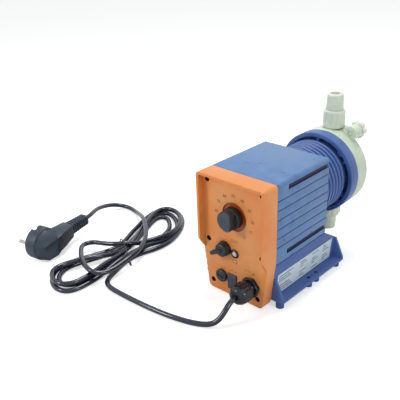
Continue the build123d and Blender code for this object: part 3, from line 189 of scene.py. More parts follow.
def finish(name, deep, pale, rough, patch_scale=22.0, grain_scale=1500.0, grain_depth=0.00003, metallic=0.0):
    """Material whose tone, gloss and grain come from the moulded surface group."""
    material = bpy.data.materials.new(name)
    material.use_nodes = True
    tree = material.node_tree
    shader = tree.nodes["Principled BSDF"]
    skin = tree.nodes.new("ShaderNodeGroup")
    skin.node_tree = surface
    skin.inputs["Deep"].default_value = linear(*deep)
    skin.inputs["Pale"].default_value = linear(*pale)
    skin.inputs["Patch Scale"].default_value = patch_scale
    skin.inputs["Grain Scale"].default_value = grain_scale
    skin.inputs["Smoothest"].default_value = rough[0]
    skin.inputs["Roughest"].default_value = rough[1]
    relief = tree.nodes.new("ShaderNodeBump")
    relief.inputs["Strength"].default_value = 0.5
    relief.inputs["Distance"].default_value = grain_depth
    tree.links.new(skin.outputs["Color"], shader.inputs["Base Color"])
    tree.links.new(skin.outputs["Roughness"], shader.inputs["Roughness"])
    tree.links.new(skin.outputs["Height"], relief.inputs["Height"])
    tree.links.new(relief.outputs["Normal"], shader.inputs["Normal"])
    shader.inputs["Metallic"].default_value = metallic
    return material


node_body = {node: body for body, nodes in frame["record"]["behaviour"]["bodies"].items() for node in nodes}


def smooth(mesh, angle=32):
    """Smooth shading that breaks at edges sharper than an angle."""
    mesh.shade_smooth()
    mesh.set_sharp_from_angle(angle=math.radians(angle))


def mesh_from(shape, name):
    """Turn a finished shape into a mesh."""
    mesh = bpy.data.meshes.new(name)
    shape.to_mesh(mesh)
    shape.free()
    return mesh


def with_round_edges(mesh, width, segments, angle, corner="MITER_SHARP"):
    """The same mesh with every edge that is sharper than an angle rounded off."""
    draft = bpy.data.objects.new(mesh.name + "_draft", mesh)
    bpy.context.collection.objects.link(draft)
    rounding = draft.modifiers.new("rounding", "BEVEL")
    rounding.width = width
    rounding.segments = segments
    rounding.limit_method = "ANGLE"
    rounding.angle_limit = math.radians(angle)
    rounding.miter_outer = corner
    rounded = bpy.data.meshes.new_from_object(draft.evaluated_get(bpy.context.evaluated_depsgraph_get()))
    bpy.data.objects.remove(draft)
    rounded.materials.clear()
    return rounded


def put_on(body, name, data):
    """Set a finished mesh or curve in the scene, on the body that carries it."""
    piece = bpy.data.objects.new(name, data)
    bpy.context.collection.objects.link(piece)
    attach(piece, body)
    return piece


def softened(node, width, material, segments=2):
    """A moulded piece with its edges rounded off, which stands for the plain solid."""
    shape = bmesh.new()
    shape.from_mesh(frame["nodes"][node].data)
    bmesh.ops.remove_doubles(shape, verts=shape.verts, dist=2e-6)
    bmesh.ops.dissolve_limit(shape, angle_limit=math.radians(0.6), verts=shape.verts, edges=shape.edges)
    name = node + "_moulding"
    rounded = with_round_edges(mesh_from(shape, name), width, segments, 28, "MITER_ARC")
    rounded.materials.append(material)
    smooth(rounded)
    piece = put_on(node_body[node], name, rounded)
    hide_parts(node)
    return piece


def dress(node, material):
    """Give a solid that keeps its own shape its finish."""
    mesh = frame["nodes"][node].data
    mesh.materials.clear()
    mesh.materials.append(material)


def shade_gaps(piece, material, inside):
    """Paint shade on the faces that a test picks, such as those deep in a slot, groove or hollow, with a darker
    copy of the same plastic.
    """
    mesh = piece.data
    mesh.materials.append(material)
    for face in mesh.polygons:
        if inside(face.center, face.normal):
            face.material_index = len(mesh.materials) - 1


orange = finish("orange_cover", (228, 128, 54), (228, 158, 94), (0.26, 0.4), 17.0)
cover_piece = softened("front_cover", 0.0008, orange, 3)
foot_hole_y = 0.0895  # the frame's origin is this far behind the hood's front edge
panel_face_y = 0.0088 - foot_hole_y
knob_axis = Vector((0.0, panel_face_y, 0.1015))
recess_radius, pocket_radius = 0.0166, 0.0034
# Painted shade: the wall and floor of the knob's recess take a darker orange, as shade in the hollow.
knob_recess_painted_shade = finish("knob_recess_painted_shade", (176, 74, 26), (196, 92, 36), (0.4, 0.5))
# Painted shade: the faces inside the screw pockets take a dark brown, as shade deep in the pockets.
screw_pocket_painted_shade = finish("screw_pocket_painted_shade", (62, 26, 14), (84, 38, 20), (0.5, 0.6))
screw_places = [(side * x, z) for side in (-1, 1)
                for x, z in ((0.0368, 0.1355), (0.0368, 0.064), (0.0315, 0.0125))]
shade_gaps(cover_piece, knob_recess_painted_shade, lambda at, facing: 0.0001 < at.y - panel_face_y < 0.0019
           and math.hypot(at.x, at.z - knob_axis.z) < recess_radius)
shade_gaps(cover_piece, screw_pocket_painted_shade, lambda at, facing: at.y - panel_face_y > 0.0001
           and any(math.hypot(at.x - x, at.z - z) < pocket_radius for x, z in screw_places))

# ---------------------------------------------------------------- dial and panel marks
# Stroke length numbers from 0 to 100 in tens round the knob, pad-printed in thin
# brown ink, and a few plain strokes by the other controls.
ink = finish("brown_ink", (88, 54, 26), (112, 70, 36), (0.5, 0.6), 300.0)
number_radius, number_height = 0.0242, 0.005
first_number_turn, number_step = -55.0, 29.4
ink_depth = 0.00006


def printed(name, mesh):
    """A thin printed mark on the panel."""
    mesh.materials.clear()
    mesh.materials.append(ink)
    put_on("pump_body", name, mesh)


for tens in range(11):
    angle = math.radians(first_number_turn + number_step * tens)
    number = bpy.data.curves.new("number", "FONT")
    number.body = str(tens * 10)
    number.size = number_height
    number.extrude = ink_depth / 2
    number.align_x = "CENTER"
    number.align_y = "CENTER"
    sample = bpy.data.objects.new("number", number)
    bpy.context.collection.objects.link(sample)
    bpy.context.view_layer.update()
    digits = bpy.data.meshes.new_from_object(sample.evaluated_get(bpy.context.evaluated_depsgraph_get()))
    bpy.data.objects.remove(sample)
    at = knob_axis + Vector((number_radius * math.cos(angle), -ink_depth / 2, number_radius * math.sin(angle)))
    digits.transform(Matrix.Translation(at) @ Matrix.Rotation(math.radians(90), 4, "X"))
    printed("dial_number_%d" % (tens * 10), digits)


def strokes(name, bars):
    """Short printed bars, each given by its middle, its length, its width and its turn in degrees."""
    shape = bmesh.new()
    for x, z, length, width, turn in bars:
        bmesh.ops.create_cube(
            shape, size=1.0,
            matrix=Matrix.Translation((x, panel_face_y - ink_depth / 2, z))
            @ Matrix.Rotation(math.radians(-turn), 4, "Y") @ Matrix.Diagonal((length, ink_depth, width, 1)))
    printed(name, mesh_from(shape, name))


line = 0.0005
selector_x, selector_z, tick_radius = -0.0134, 0.0598, 0.0118
strokes("dial_scale_bars", [(x, 0.0738, 0.0016, line, 0) for x in (-0.0035, -0.0008, 0.0019, 0.0046)]
        + [(0.0006, 0.0716, 0.0098, line, 0)])
strokes("lamp_frame", [(0.0006, 0.0495, 0.0056, line, 0), (0.0006, 0.0458, 0.0056, line, 0),
                       (-0.0022, 0.04765, 0.0037, line, 90), (0.0034, 0.04765, 0.0037, line, 90)])
strokes("selector_ticks", [(selector_x + tick_radius * math.cos(math.radians(turn)),
                            selector_z + tick_radius * math.sin(math.radians(turn)),
                            0.0018, line, turn) for turn in (207, 162, 117)])
strokes("socket_bars", [(x, 0.0345, 0.0028, line, 60) for x in (-0.0056, -0.0036)]
        + [(0.0012, 0.0345, 0.003, line, 0)])
strokes("gland_bars", [(0.0152, 0.0425, 0.0036, line, 35), (0.0196, 0.0425, 0.0036, line, -35),
                       (0.0262, 0.0423, 0.004, line, 0), (0.0262, 0.0408, 0.004, line, 0)])

# ---------------------------------------------------------------- cover screws
# Zinc-plated cross-head screws, sunk in round pockets of the cover.
zinc = finish("zinc_plate", (112, 108, 100), (150, 146, 138), (0.3, 0.5), 160.0, 2500.0, 0.00001, 0.9)
for screws in ("cover_screws", "foot_screws", "head_screws"):
    dress(screws, zinc)

# ---------------------------------------------------------------- housing
# Blue glass-filled case, open at the cover, with shallow cooling grooves and two
# long slots on each side.
case_blue = finish("case_blue", (74, 112, 162), (92, 130, 180), (0.26, 0.46), 70.0)
housing_piece = softened("housing", 0.0009, case_blue, 3)
slot_dark = finish("slot_shade", (20, 28, 66), (28, 38, 80), (0.5, 0.6))
groove_dark = finish("groove_shade", (38, 56, 110), (48, 68, 124), (0.5, 0.6))


case_half_width, taper_top, taper = 0.045, 0.057, 0.13
groove_band = (0.064, 0.133)
slot_bands = ((0.1342, 0.1402), (0.0592, 0.0654))


def side_wall(z):
    """Half width of the case at a height."""
    return case_half_width - max(0.0, taper_top - z) * taper


# Painted shade: faces deep in the cooling grooves and the long slots, and those in the gap at the case's front
# end by the cover, take darker copies of the blue.
shade_gaps(housing_piece, groove_dark, lambda at, facing: groove_band[0] < at.z < groove_band[1]
           and -0.06 < at.y < 0.0268
           and side_wall(at.z) - 0.004 < abs(at.x) < side_wall(at.z) - 0.0004)
shade_gaps(housing_piece, slot_dark, lambda at, facing: at.y < -0.0659 and facing.y > -0.9)
shade_gaps(housing_piece, slot_dark, lambda at, facing: any(low < at.z < high for low, high in slot_bands)
           and -0.0485 < at.y < 0.0272 and 0.02 < abs(at.x) < side_wall(at.z) - 0.0006)

# ---------------------------------------------------------------- foot
# Foot of the same blue plastic: leaning walls, a flange with round feet and
# screw holes, and a gusset at each end.
foot_blue = finish("foot_blue", (58, 88, 152), (68, 98, 160), (0.34, 0.48))
softened("foot", 0.0008, foot_blue)

# ---------------------------------------------------------------- label plate
# Blank rating plate of pale foil on the foot's wall, ruled into empty rows.
foil = finish("pale_foil", (196, 212, 222), (210, 224, 230), (0.28, 0.4), 60.0, 3000.0, 0.00001)
dress("label_plate", foil)
plate_low, plate_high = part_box("label_plate")
rule_ink = finish("rule_ink", (34, 42, 56), (60, 70, 84), (0.5, 0.6), 300.0)
rules = bmesh.new()


def rule(y0, y1, share, thick):
    """A printed line along the plate, at a share of its height."""
    z = plate_low.z + share * (plate_high.z - plate_low.z)
    x = plate_low.x + 0.0004 + share * (plate_high.x - plate_low.x - 0.0004)
    bmesh.ops.create_cube(rules, size=1.0, matrix=Matrix.Translation((x, (y0 + y1) / 2, z))
                          @ Matrix.Diagonal((0.00008, abs(y1 - y0), thick, 1)))


plate_length = plate_high.y - plate_low.y
for row in range(7):
    for start, end in ((0.03, 0.27), (0.40, 0.52), (0.62, 0.74), (0.83, 0.95)):
        column = int(start * 10)
        if (row + column) % 4 == 3:
            continue
        shortened = 0.03 * ((row * 7 + column) % 3)
        rule(plate_low.y + start * plate_length, plate_low.y + (end - shortened) * plate_length,
             0.14 + 0.12 * row, 0.0009)
rule_mesh = mesh_from(rules, "plate_rules")
rule_mesh.materials.append(rule_ink)
put_on("pump_body", "plate_rules", rule_mesh)

# ---------------------------------------------------------------- stroke knob
# Black knob with a bar grip; a slate-coloured cap closes its face, with a small
# dimple over the spindle.
black = finish("black_moulding", (26, 31, 38), (36, 42, 50), (0.36, 0.5), 60.0)
slate = finish("slate_cap", (50, 60, 74), (60, 70, 84), (0.38, 0.5), 60.0)
knob_radius, grip_radius, flat_reach = 0.0122, 0.0112, 0.0066
skirt_back, skirt_front, face_front = (panel_face_y - reach for reach in (0.0004, 0.0072, 0.0148))


def skin(shape, rings):
    """Join a row of closed sections with faces and close both ends."""
    loops = [[shape.verts.new(point) for point in ring] for ring in rings]
    for one, two in zip(loops, loops[1:]):
        for step in range(len(one)):
            shape.faces.new((one[step - 1], one[step], two[step], two[step - 1]))
    shape.faces.new(loops[0])
    shape.faces.new(loops[-1][::-1])
    bmesh.ops.recalc_face_normals(shape, faces=shape.faces)


def knob_part(name, sections, material):
    """Part of the knob, skinned through closed sections given as (depth, points)."""
    shape = bmesh.new()
    skin(shape, [[(x, depth, knob_axis.z + z) for x, z in ring] for depth, ring in sections])
    mesh = mesh_from(shape, name)
    mesh.materials.append(material)
    smooth(mesh, 35)
    return put_on("stroke_adjuster", name, mesh)


def circle(radius, points=144):
    """Points round a circle."""
    turns = [2 * math.pi * step / points for step in range(points)]
    return [(radius * math.cos(turn), radius * math.sin(turn)) for turn in turns]


def fluted(radius, depth):
    """Circle with fine finger ribs."""
    return [low if step % 4 < 2 else high
            for step, (low, high) in enumerate(zip(circle(radius - depth), circle(radius)))]


def grip(radius, reach):
    """Circle cut straight on one side, with its corners eased."""
    return [(min(x, reach + 0.08 * max(0.0, x - reach)), z) for x, z in circle(radius)]


knob_part("knob_skirt", [
    (skirt_back, fluted(knob_radius - 0.0004, 0.0)), (skirt_back - 0.0006, fluted(knob_radius, 0.0004)),
    (skirt_front + 0.0006, fluted(knob_radius - 0.0002, 0.0004)),
    (skirt_front, fluted(knob_radius - 0.0009, 0.0))], black)
knob_grip = knob_part("knob_grip", [
    (skirt_front + 0.0004, grip(grip_radius + 0.0001, flat_reach + 0.0004)),
    (face_front + 0.0008, grip(grip_radius, flat_reach)),
    (face_front + 0.0001, grip(grip_radius - 0.0006, flat_reach - 0.0006))], black)
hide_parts("stroke_knob")
knob_part("knob_cap", [
    (face_front + 0.0003, grip(grip_radius - 0.0007, flat_reach - 0.0007)),
    (face_front - 0.0002, grip(grip_radius - 0.0008, flat_reach - 0.0008)),
    (face_front - 0.0004, grip(grip_radius - 0.0012, flat_reach - 0.0012))], slate)
dimple_shape = bmesh.new()
bmesh.ops.create_cone(dimple_shape, cap_ends=True, segments=24, radius1=0.0011, radius2=0.0009, depth=0.0003,
                      matrix=Matrix.Translation((0, face_front - 0.0003, knob_axis.z))
                      @ Matrix.Rotation(math.radians(90), 4, "X"))
dimple_mesh = mesh_from(dimple_shape, "knob_dimple")
dimple_mesh.materials.append(black)
put_on("stroke_adjuster", "knob_dimple", dimple_mesh)

# ---------------------------------------------------------------- selector, lamp, fuse cap and socket cover
# Small black controls in the lower half of the panel, and a milky, partly clear lamp lens.
for node, width in (("selector_knob", 0.0004), ("fuse_cap", 0.0003), ("lamp_bezel", 0.0002)):
    softened(node, width, black)
softened("socket_cover", 0.0003, slate)
lens = finish("milky_lens", (236, 206, 196), (250, 240, 236), (0.12, 0.2), 500.0)
lens.node_tree.nodes["Principled BSDF"].inputs["Transmission Weight"].default_value = 0.25
dress("lamp_lens", lens)

# ---------------------------------------------------------------- cable gland
# Black polyamide gland: hexagonal body on the panel and a domed, ribbed nut.
gloss_black = finish("gloss_black", (14, 20, 30), (22, 30, 42), (0.12, 0.2), 60.0)
softened("gland_body", 0.0005, gloss_black)
gland_x, gland_z, nut_mouth = 0.023, 0.0255, -0.0188 - foot_hole_y
nut_profile = [  # distance from the mouth towards the panel, radius, depth of the ribs
    (0.0006, 0.0034, 0.0), (0.0, 0.0040, 0.0), (0.0, 0.0062, 0.0), (0.0005, 0.0076, 0.0), (0.0018, 0.0090, 0.0),
    (0.0036, 0.0102, 0.0002), (0.0056, 0.0111, 0.0005), (0.0078, 0.0115, 0.0007), (0.0098, 0.0118, 0.0008),
    (0.0142, 0.0119, 0.0008), (0.0154, 0.0119, 0.0005), (0.0166, 0.0112, 0.0), (0.0166, 0.0102, 0.0)]
nut_sides, nut_ribs = 96, 12
nut_rings = []
for depth, radius, rib in nut_profile:
    ring = []
    for step in range(nut_sides):
        turn = 2 * math.pi * step / nut_sides
        reach = radius - rib * (0.5 - 0.5 * math.cos(nut_ribs * turn)) ** 2
        ring.append((gland_x + reach * math.cos(turn), nut_mouth + depth, gland_z + reach * math.sin(turn)))
    nut_rings.append(ring)
nut_shape = bmesh.new()
skin(nut_shape, nut_rings)
nut_mesh = mesh_from(nut_shape, "gland_dome_nut")
nut_mesh.materials.append(gloss_black)
smooth(nut_mesh, 40)
dome_nut = put_on("pump_body", "gland_dome_nut", nut_mesh)
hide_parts("gland_nut")

# ---------------------------------------------------------------- ribbed casing and ring
# The solenoid's round casing with its cooling ribs, and the ring that the pump
# head is screwed to, hollow towards the case.
casing_blue = finish("casing_blue", (72, 100, 160), (82, 112, 170), (0.34, 0.46))
ring_blue = finish("ring_blue", (64, 96, 156), (76, 108, 168), (0.34, 0.46))
softened("solenoid_casing", 0.0005, casing_blue)
softened("back_ring", 0.0006, ring_blue)

# ---------------------------------------------------------------- liquid end
# Head, valves and nozzles of unfilled natural plastic: pale green-white and
# slightly translucent, so light soaks into the thin parts.
def natural(name, deep, pale):
    """Unfilled plastic that lets some light in."""
    material = finish(name, deep, pale, (0.32, 0.46), 40.0, 900.0)
    shader = material.node_tree.nodes["Principled BSDF"]
    shader.inputs["Subsurface Weight"].default_value = 0.6
    shader.inputs["Subsurface Radius"].default_value = (1.0, 1.0, 0.8)
    shader.inputs["Subsurface Scale"].default_value = 0.006
    return material


head_white = natural("natural_head", (196, 210, 190), (210, 222, 204))
valve_white = natural("natural_valve", (210, 219, 202), (222, 230, 216))
softened("dosing_head", 0.0008, head_white, 3)
for node, width in (("discharge_valve", 0.0004), ("discharge_nozzle", 0.0004), ("suction_valve", 0.0004),
                    ("suction_nozzle", 0.0004), ("bleed_stem", 0.0003), ("bleed_knob", 0.0007)):
    softened(node, width, valve_white)

# ---------------------------------------------------------------- mains lead
# Black rubber-sheathed lead, 6 mm thick: out of the gland, down to the floor,
# four turns of a loose hank, one small loop back over the tie, and on to the plug.
sheath = finish("rubber_sheath", (7, 18, 38), (13, 28, 52), (0.3, 0.4), 90.0, 2200.0, 0.00001)
sheath_shader = sheath.node_tree.nodes["Principled BSDF"]
sheath_shader.inputs["Specular IOR Level"].default_value = 0.15
sheath_shader.inputs["Coat Weight"].default_value = 1.0
sheath_shader.inputs["Coat Roughness"].default_value = 0.06
# The lead's line, in millimetres from the hood's front edge and up from the floor.
mains_route = [
    (23.0, -5.0, 25.5), (23.0, -17.5, 25.4), (23.2, -27.5, 23.4), (23.2, -35.5, 16.6), (21.0, -42.5, 9.0),
    (15.0, -48.0, 4.2), (5.0, -54.0, 3.1), (-9.0, -59.5, 3.1), (-29.0, -64.5, 3.1), (-53.0, -68.0, 3.1),
    (-79.0, -70.2, 3.1), (-103.0, -71.3, 3.1), (-121.0, -71.3, 3.1), (-132.0, -67.0, 3.1),
    (-138.5, -57.5, 3.1), (-143.0, -45.0, 3.1), (-147.4, -33.0, 3.1)]
first_turn = [
    (-151.0, -20.0, 3.1), (-152.0, -6.5, 3.1), (-149.8, 7.0, 3.1), (-144.5, 22.5, 3.1), (-143.0, 41.5, 3.1),
    (-147.5, 61.0, 3.1), (-157.0, 82.0, 3.1), (-171.0, 100.0, 3.1), (-189.0, 112.5, 3.1), (-207.0, 116.0, 3.1),
    (-219.0, 110.0, 3.1), (-223.0, 96.0, 3.1), (-219.3, 76.0, 3.1), (-210.5, 54.0, 3.1), (-201.5, 32.0, 3.1),
    (-192.5, 14.0, 3.1), (-186.5, -1.0, 3.1), (-187.2, -16.0, 3.1), (-191.8, -33.0, 3.1), (-199.0, -53.0, 3.1),
    (-203.5, -71.0, 3.1), (-202.0, -87.0, 3.1), (-195.0, -99.0, 3.1), (-183.5, -108.0, 3.1),
    (-169.0, -113.0, 3.1), (-155.5, -111.0, 3.1), (-148.2, -101.0, 3.1), (-147.0, -84.0, 3.1),
    (-148.3, -66.0, 3.4), (-150.0, -49.0, 6.0), (-151.0, -32.0, 9.0), (-151.8, -16.0, 9.6)]
second_turn = [
    (-152.0, -1.0, 9.6), (-153.0, 13.0, 9.2), (-152.3, 27.0, 6.6), (-151.5, 42.0, 3.6), (-153.5, 58.0, 3.1),
    (-158.5, 73.0, 3.1), (-167.0, 85.5, 3.1), (-181.0, 96.5, 3.1), (-197.0, 103.0, 3.1), (-209.0, 102.5, 3.1),
    (-215.0, 93.0, 3.1), (-212.3, 79.0, 3.1), (-204.5, 62.5, 3.1), (-197.0, 45.0, 3.1), (-189.0, 28.0, 3.1),
    (-182.5, 12.0, 3.1), (-179.8, -3.0, 3.1), (-180.8, -18.0, 3.1), (-183.5, -32.0, 3.1), (-188.0, -47.0, 3.1),
    (-193.0, -62.0, 3.1), (-195.5, -76.0, 3.1), (-191.5, -89.0, 3.1), (-184.0, -98.0, 3.1),
    (-174.0, -103.2, 3.1), (-163.5, -101.5, 3.1), (-157.0, -92.0, 3.1), (-155.6, -78.0, 3.1),
    (-157.0, -62.0, 3.1), (-158.0, -46.0, 3.1), (-158.5, -30.0, 3.1), (-158.6, -14.0, 3.1)]
third_turn = [
    (-158.8, 2.0, 3.1), (-159.3, 18.0, 3.1), (-159.6, 35.0, 3.1), (-161.5, 51.0, 3.1), (-166.0, 65.0, 3.1),
    (-173.5, 77.0, 3.1), (-184.5, 86.5, 3.1), (-195.5, 92.5, 3.1), (-204.0, 90.5, 3.1), (-206.0, 81.5, 3.1),
    (-202.0, 69.0, 3.1), (-195.5, 54.5, 3.1), (-187.5, 37.5, 3.1), (-180.0, 21.0, 3.1), (-174.0, 5.5, 3.1),
    (-172.6, -10.0, 3.4), (-174.5, -26.0, 5.6), (-179.0, -42.0, 9.0), (-185.5, -57.0, 10.2),
    (-192.0, -71.0, 9.8), (-196.8, -84.5, 9.5), (-195.0, -97.0, 9.4), (-186.5, -105.5, 9.4),
    (-174.0, -110.5, 9.4), (-161.0, -109.0, 9.4), (-153.0, -99.0, 9.4), (-151.5, -84.0, 9.4),
    (-153.8, -66.0, 9.8), (-156.8, -48.0, 10.4), (-158.2, -32.0, 10.2)]
fourth_turn = [
    (-160.8, -17.0, 9.9), (-166.0, -2.0, 9.6), (-174.0, 13.0, 9.6), (-183.5, 29.0, 9.6), (-192.5, 45.0, 9.5),
    (-201.0, 61.0, 9.5), (-208.5, 77.0, 9.4), (-213.0, 91.0, 9.4), (-211.0, 102.5, 9.4), (-200.5, 108.0, 9.4),
    (-186.5, 105.5, 9.4), (-172.5, 97.0, 9.4), (-160.5, 84.0, 9.4), (-152.8, 68.0, 9.6), (-150.8, 51.0, 10.0),
    (-154.2, 37.0, 10.3), (-158.0, 24.0, 9.9), (-160.6, 12.0, 10.8), (-163.4, 2.0, 14.0)]
small_loop = [
    (-168.5, -7.5, 16.3), (-176.0, -14.0, 15.6), (-187.0, -19.0, 13.8), (-198.5, -22.5, 12.4),
    (-208.5, -25.5, 11.4), (-213.5, -33.5, 11.4), (-210.0, -43.5, 12.6), (-198.0, -53.0, 14.6),
    (-183.0, -63.5, 16.4), (-166.0, -72.0, 16.4), (-151.0, -75.5, 15.8), (-142.3, -71.5, 13.4),
    (-138.6, -62.0, 11.8), (-137.4, -50.5, 12.0), (-137.4, -39.0, 13.4), (-138.3, -27.0, 15.0),
    (-139.6, -14.0, 16.0), (-143.2, -2.0, 16.5), (-152.0, 12.0, 16.6), (-165.5, 27.0, 16.4),
    (-182.0, 41.5, 16.2), (-199.0, 53.5, 15.6)]
plug_route = [
    (-215.0, 63.0, 12.4), (-230.0, 71.0, 7.4), (-245.0, 77.5, 4.0), (-260.0, 81.0, 3.1), (-273.0, 77.5, 4.6),
    (-280.3, 66.0, 8.0), (-280.0, 51.0, 12.0), (-274.5, 35.0, 16.3), (-265.8, 20.0, 19.6),
    (-256.82, 6.5, 21.02), (-253.07, -11.11, 21.02)]


def in_frame(x, y, z):
    """Millimetres from the hood's front edge as the frame's metres."""
    return Vector((x, y - 1000 * foot_hole_y, z)) / 1000


hank_turns = first_turn + second_turn + third_turn + fourth_turn + small_loop
lead_route = [in_frame(*place) for place in mains_route + hank_turns + plug_route]
lead_curve = bpy.data.curves.new("mains_cord", "CURVE")
lead_curve.dimensions = "3D"
lead_curve.resolution_u = 10
lead_line = lead_curve.splines.new("NURBS")
lead_line.points.add(len(lead_route) - 1)
for point, place in zip(lead_line.points, lead_route):
    point.co = (*place, 1.0)
lead_line.order_u = 3
lead_line.use_endpoint_u = True
lead_curve.bevel_depth = 0.003
lead_curve.bevel_resolution = 5
lead_curve.use_fill_caps = True
lead_curve.materials.append(sheath)
mains_cord = put_on("pump_body", "mains_cord", lead_curve)
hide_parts("mains_lead", "plug_lead", "cord_hank")

# ---------------------------------------------------------------- wire tie
# Plastic-covered wire wound once round the waist of the hank, its ends twisted
# together on the near side.
tie_black = finish("tie_cover", (20, 22, 27), (30, 33, 39), (0.3, 0.4), 200.0)


def wire(name, points, radius, closed=False):
    """Round wire along points in millimetres."""
    curve = bpy.data.curves.new(name, "CURVE")
    curve.dimensions = "3D"
    curve.resolution_u = 8
    strand = curve.splines.new("NURBS")
    strand.points.add(len(points) - 1)
    for point, place in zip(strand.points, points):
        point.co = (*in_frame(*place), 1.0)
    strand.order_u = 3
    strand.use_cyclic_u = closed
    strand.use_endpoint_u = not closed
    curve.bevel_depth = radius / 1000
    curve.bevel_resolution = 3
    curve.use_fill_caps = True
    curve.materials.append(tie_black)
    return put_on("pump_body", name, curve)


tie_band = wire("tie_band", [
    (-187.5, 1.0, 3.0), (-188.0, 1.0, 8.0), (-185.0, -0.5, 13.5), (-178.5, -4.0, 17.5), (-171.0, -8.0, 20.2),
    (-163.0, -12.0, 19.4), (-155.0, -16.0, 16.0), (-148.6, -19.4, 12.6), (-146.6, -20.6, 7.0),
    (-147.4, -20.2, 1.0), (-156.0, -15.6, 0.9), (-168.0, -9.4, 0.9), (-181.0, -2.4, 0.9)], 0.7, True)
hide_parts("cord_tie")
for strand_name, phase in (("tie_end_near", 0.0), ("tie_end_far", math.pi)):
    wire(strand_name, [
        (-146.4 + 0.8 * i, -20.8 - 0.35 * i + 1.0 * math.cos(phase + 1.05 * i),
         12.0 - 0.62 * i + 1.0 * math.sin(phase + 1.05 * i)) for i in range(13)], 0.8)

# ---------------------------------------------------------------- plug
# Moulded angled plug: round face with side notches, a faceted back, a flat arm
# and a ribbed strain relief; two nickel-plated pins.
plug_black = finish("plug_moulding", (30, 44, 58), (40, 56, 70), (0.4, 0.52), 60.0, 1200.0, 0.00004)
plug_turn = math.radians(12)
plug_place = (Matrix.Translation((-0.236, -0.077 - foot_hole_y, 0)) @ Matrix.Rotation(plug_turn, 4, "Z")
              @ Matrix.Scale(0.001, 4))


def plug_part(name, shape, width, node, bend=24):
    """Finish one moulded part of the plug: round its edges and set it in its place."""
    bmesh.ops.recalc_face_normals(shape, faces=shape.faces)
    mesh = with_round_edges(mesh_from(shape, name), width, 2, bend)
    mesh.transform(plug_place)
    mesh.materials.append(plug_black)
    smooth(mesh, 28)
    piece = put_on("pump_body", name, mesh)
    if node:
        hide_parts(node)
    return piece


# In the plug's own axes, in millimetres: across from the pins (-) to the back (+),
# along the arm towards the lead, and up from the floor.
plug_height, notch_half_turn = 21.02, 0.24
disc = bmesh.new()
disc_rings = []
for across, radius, deep in ((-17.0, 19.4, 3.4), (-15.8, 20.9, 4.0), (-6.4, 20.9, 4.0), (-6.0, 20.9, 0.0),
                             (-1.6, 20.9, 0.0), (-0.4, 19.8, 0.0)):
    ring = []
    for step in range(72):
        turn = 2 * math.pi * step / 72
        side = min(abs(turn - math.pi / 2), abs(turn - 3 * math.pi / 2))
        notch = deep if side < notch_half_turn else 0.0
        reach = radius - notch
        ring.append((across, reach * math.cos(turn), plug_height + reach * math.sin(turn)))
    disc_rings.append(ring)
skin(disc, disc_rings)
plug_face = plug_part("plug_face", disc, 0.25, "plug_body", 50)
back = bmesh.new()
corners = []
for step in range(10):
    turn = 2 * math.pi * (step + 0.5) / 10
    corners.append((-1.0, 20.6 * math.cos(turn), plug_height + 20.0 * math.sin(turn)))
corners += [(9.6, -11.5, 24.0), (13.0, 9.0, 28.5), (10.0, 13.0, 6.0),
            (3.5, 14.0, 36.5), (6.5, -5.0, 1.4), (9.5, 9.0, 3.0)]
for corner in corners:
    back.verts.new(corner)
bmesh.ops.convex_hull(back, input=back.verts)
bmesh.ops.dissolve_limit(back, angle_limit=math.radians(4), verts=back.verts, edges=back.edges)
plug_back = plug_part("plug_back", back, 0.35, None, 10)
arm = bmesh.new()
for corner in ((-13.0, 6.0, 9.0), (12.0, 9.0, 7.0), (13.0, 9.0, 28.5), (-8.0, 8.0, 34.0),
               (-12.6, 22.0, 10.0), (10.4, 24.0, 9.5), (11.0, 22.0, 29.4), (-9.0, 22.0, 32.6),
               (-11.8, 43.5, 12.6), (6.0, 43.5, 12.4), (6.6, 43.5, 29.4), (-10.4, 43.5, 30.0)):
    arm.verts.new(corner)
bmesh.ops.convex_hull(arm, input=arm.verts)
bmesh.ops.dissolve_limit(arm, angle_limit=math.radians(1), verts=arm.verts, edges=arm.edges)
plug_arm = plug_part("plug_arm", arm, 0.8, None, 20)
# The arm's faces towards the plug's back take a rougher, coarser grain, and their darker colour is painted
# shade on that side.
grip_texture_painted_shade = finish("grip_texture_painted_shade", (15, 23, 34), (23, 33, 45), (0.5, 0.6), 300.0, 700.0, 0.0001)
shade_gaps(plug_arm, grip_texture_painted_shade, lambda at, facing: facing.x > 0.6)
relief = bmesh.new()
relief_rings = []
stations = [(42.6, 7.4, 7.2)]
for rib in range(6):
    start, half = 44.0 + 4.2 * rib, 8.3 - 0.16 * rib
    stations += [(start, half - 1.7, half - 1.9), (start + 1.3, half - 1.7, half - 1.9),
                 (start + 1.5, half, half - 0.3), (start + 3.9, half - 0.05, half - 0.35)]
stations += [(69.6, 5.2, 4.9), (70.4, 5.2, 4.9), (70.6, 7.4, 7.1), (75.0, 7.2, 6.9), (76.0, 6.2, 5.9)]
for along, half_across, half_up in stations:
    ring = []
    for step in range(40):
        turn = 2 * math.pi * step / 40
        c, r = math.cos(turn), math.sin(turn)
        ring.append((-3.0 + half_across * math.copysign(abs(c) ** 0.55, c), along,
                     plug_height + half_up * math.copysign(abs(r) ** 0.55, r)))
    relief_rings.append(ring)
skin(relief, relief_rings)
plug_relief = plug_part("plug_relief", relief, 0.12, "strain_relief", 40)
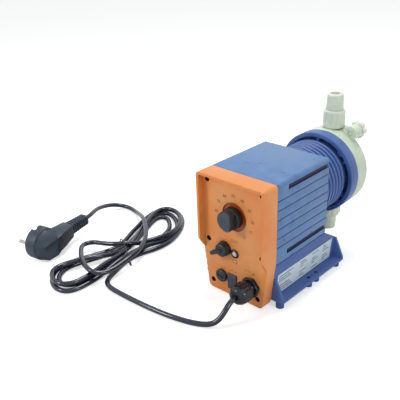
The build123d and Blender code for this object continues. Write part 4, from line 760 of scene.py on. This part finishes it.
nickel = finish("nickel_pin", (176, 172, 164), (198, 195, 188), (0.16, 0.26), 200.0, 2500.0, 0.000005, 1.0)
dress("plug_pins", nickel)

# ---------------------------------------------------------------- inside parts
# Everything behind the panel and inside the drive: turned steel, sintered bronze,
# copper winding, a green board, rubber seals, ceramic balls and black mouldings.
steel = finish("turned_steel", (132, 132, 136), (158, 158, 162), (0.25, 0.4), 120.0, 2000.0, 0.00001, 1.0)
bronze = finish("sintered_bronze", (150, 112, 62), (172, 132, 78), (0.4, 0.55), 200.0, 2000.0, 0.00002, 1.0)
copper = finish("enamelled_copper", (158, 82, 42), (184, 100, 54), (0.25, 0.4), 200.0, 2000.0, 0.00003, 1.0)
board_green = finish("board_green", (20, 78, 44), (28, 92, 54), (0.35, 0.5), 120.0)
rubber = finish("black_rubber", (18, 18, 20), (26, 26, 28), (0.6, 0.75), 120.0)
faced_rubber = finish("faced_rubber", (186, 184, 176), (202, 200, 192), (0.45, 0.6), 120.0)
ceramic = finish("ceramic", (228, 227, 222), (238, 237, 232), (0.12, 0.2), 120.0)
for material, nodes in (
        (steel, ("stroke_spindle", "stop_pin", "solenoid_pot", "fixed_core", "armature", "push_rod",
                 "return_spring", "diaphragm_disc")),
        (bronze, ("stop_bush", "guide_bush")),
        (copper, ("coil_winding",)),
        (board_green, ("circuit_board",)),
        (black, ("rotary_switch", "fuse_holder", "gland_locknut", "coil_bobbin", "board_parts")),
        (rubber, ("gland_seal", "discharge_seal", "suction_seal")),
        (faced_rubber, ("diaphragm",)),
        (ceramic, ("discharge_ball", "suction_ball")),
        (valve_white, ("discharge_seat", "suction_seat"))):
    for node in nodes:
        dress(node, material)

# ---------------------------------------------------------------- return spring
# Wound steel wire between the armature and the fixed core's pocket, set in the scene as a copy of the spring's
# own mesh.
spring_coils = bpy.data.objects.new("return_spring_coils", frame["nodes"]["return_spring"].data.copy())
bpy.context.collection.objects.link(spring_coils)
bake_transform(spring_coils)
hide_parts("return_spring")
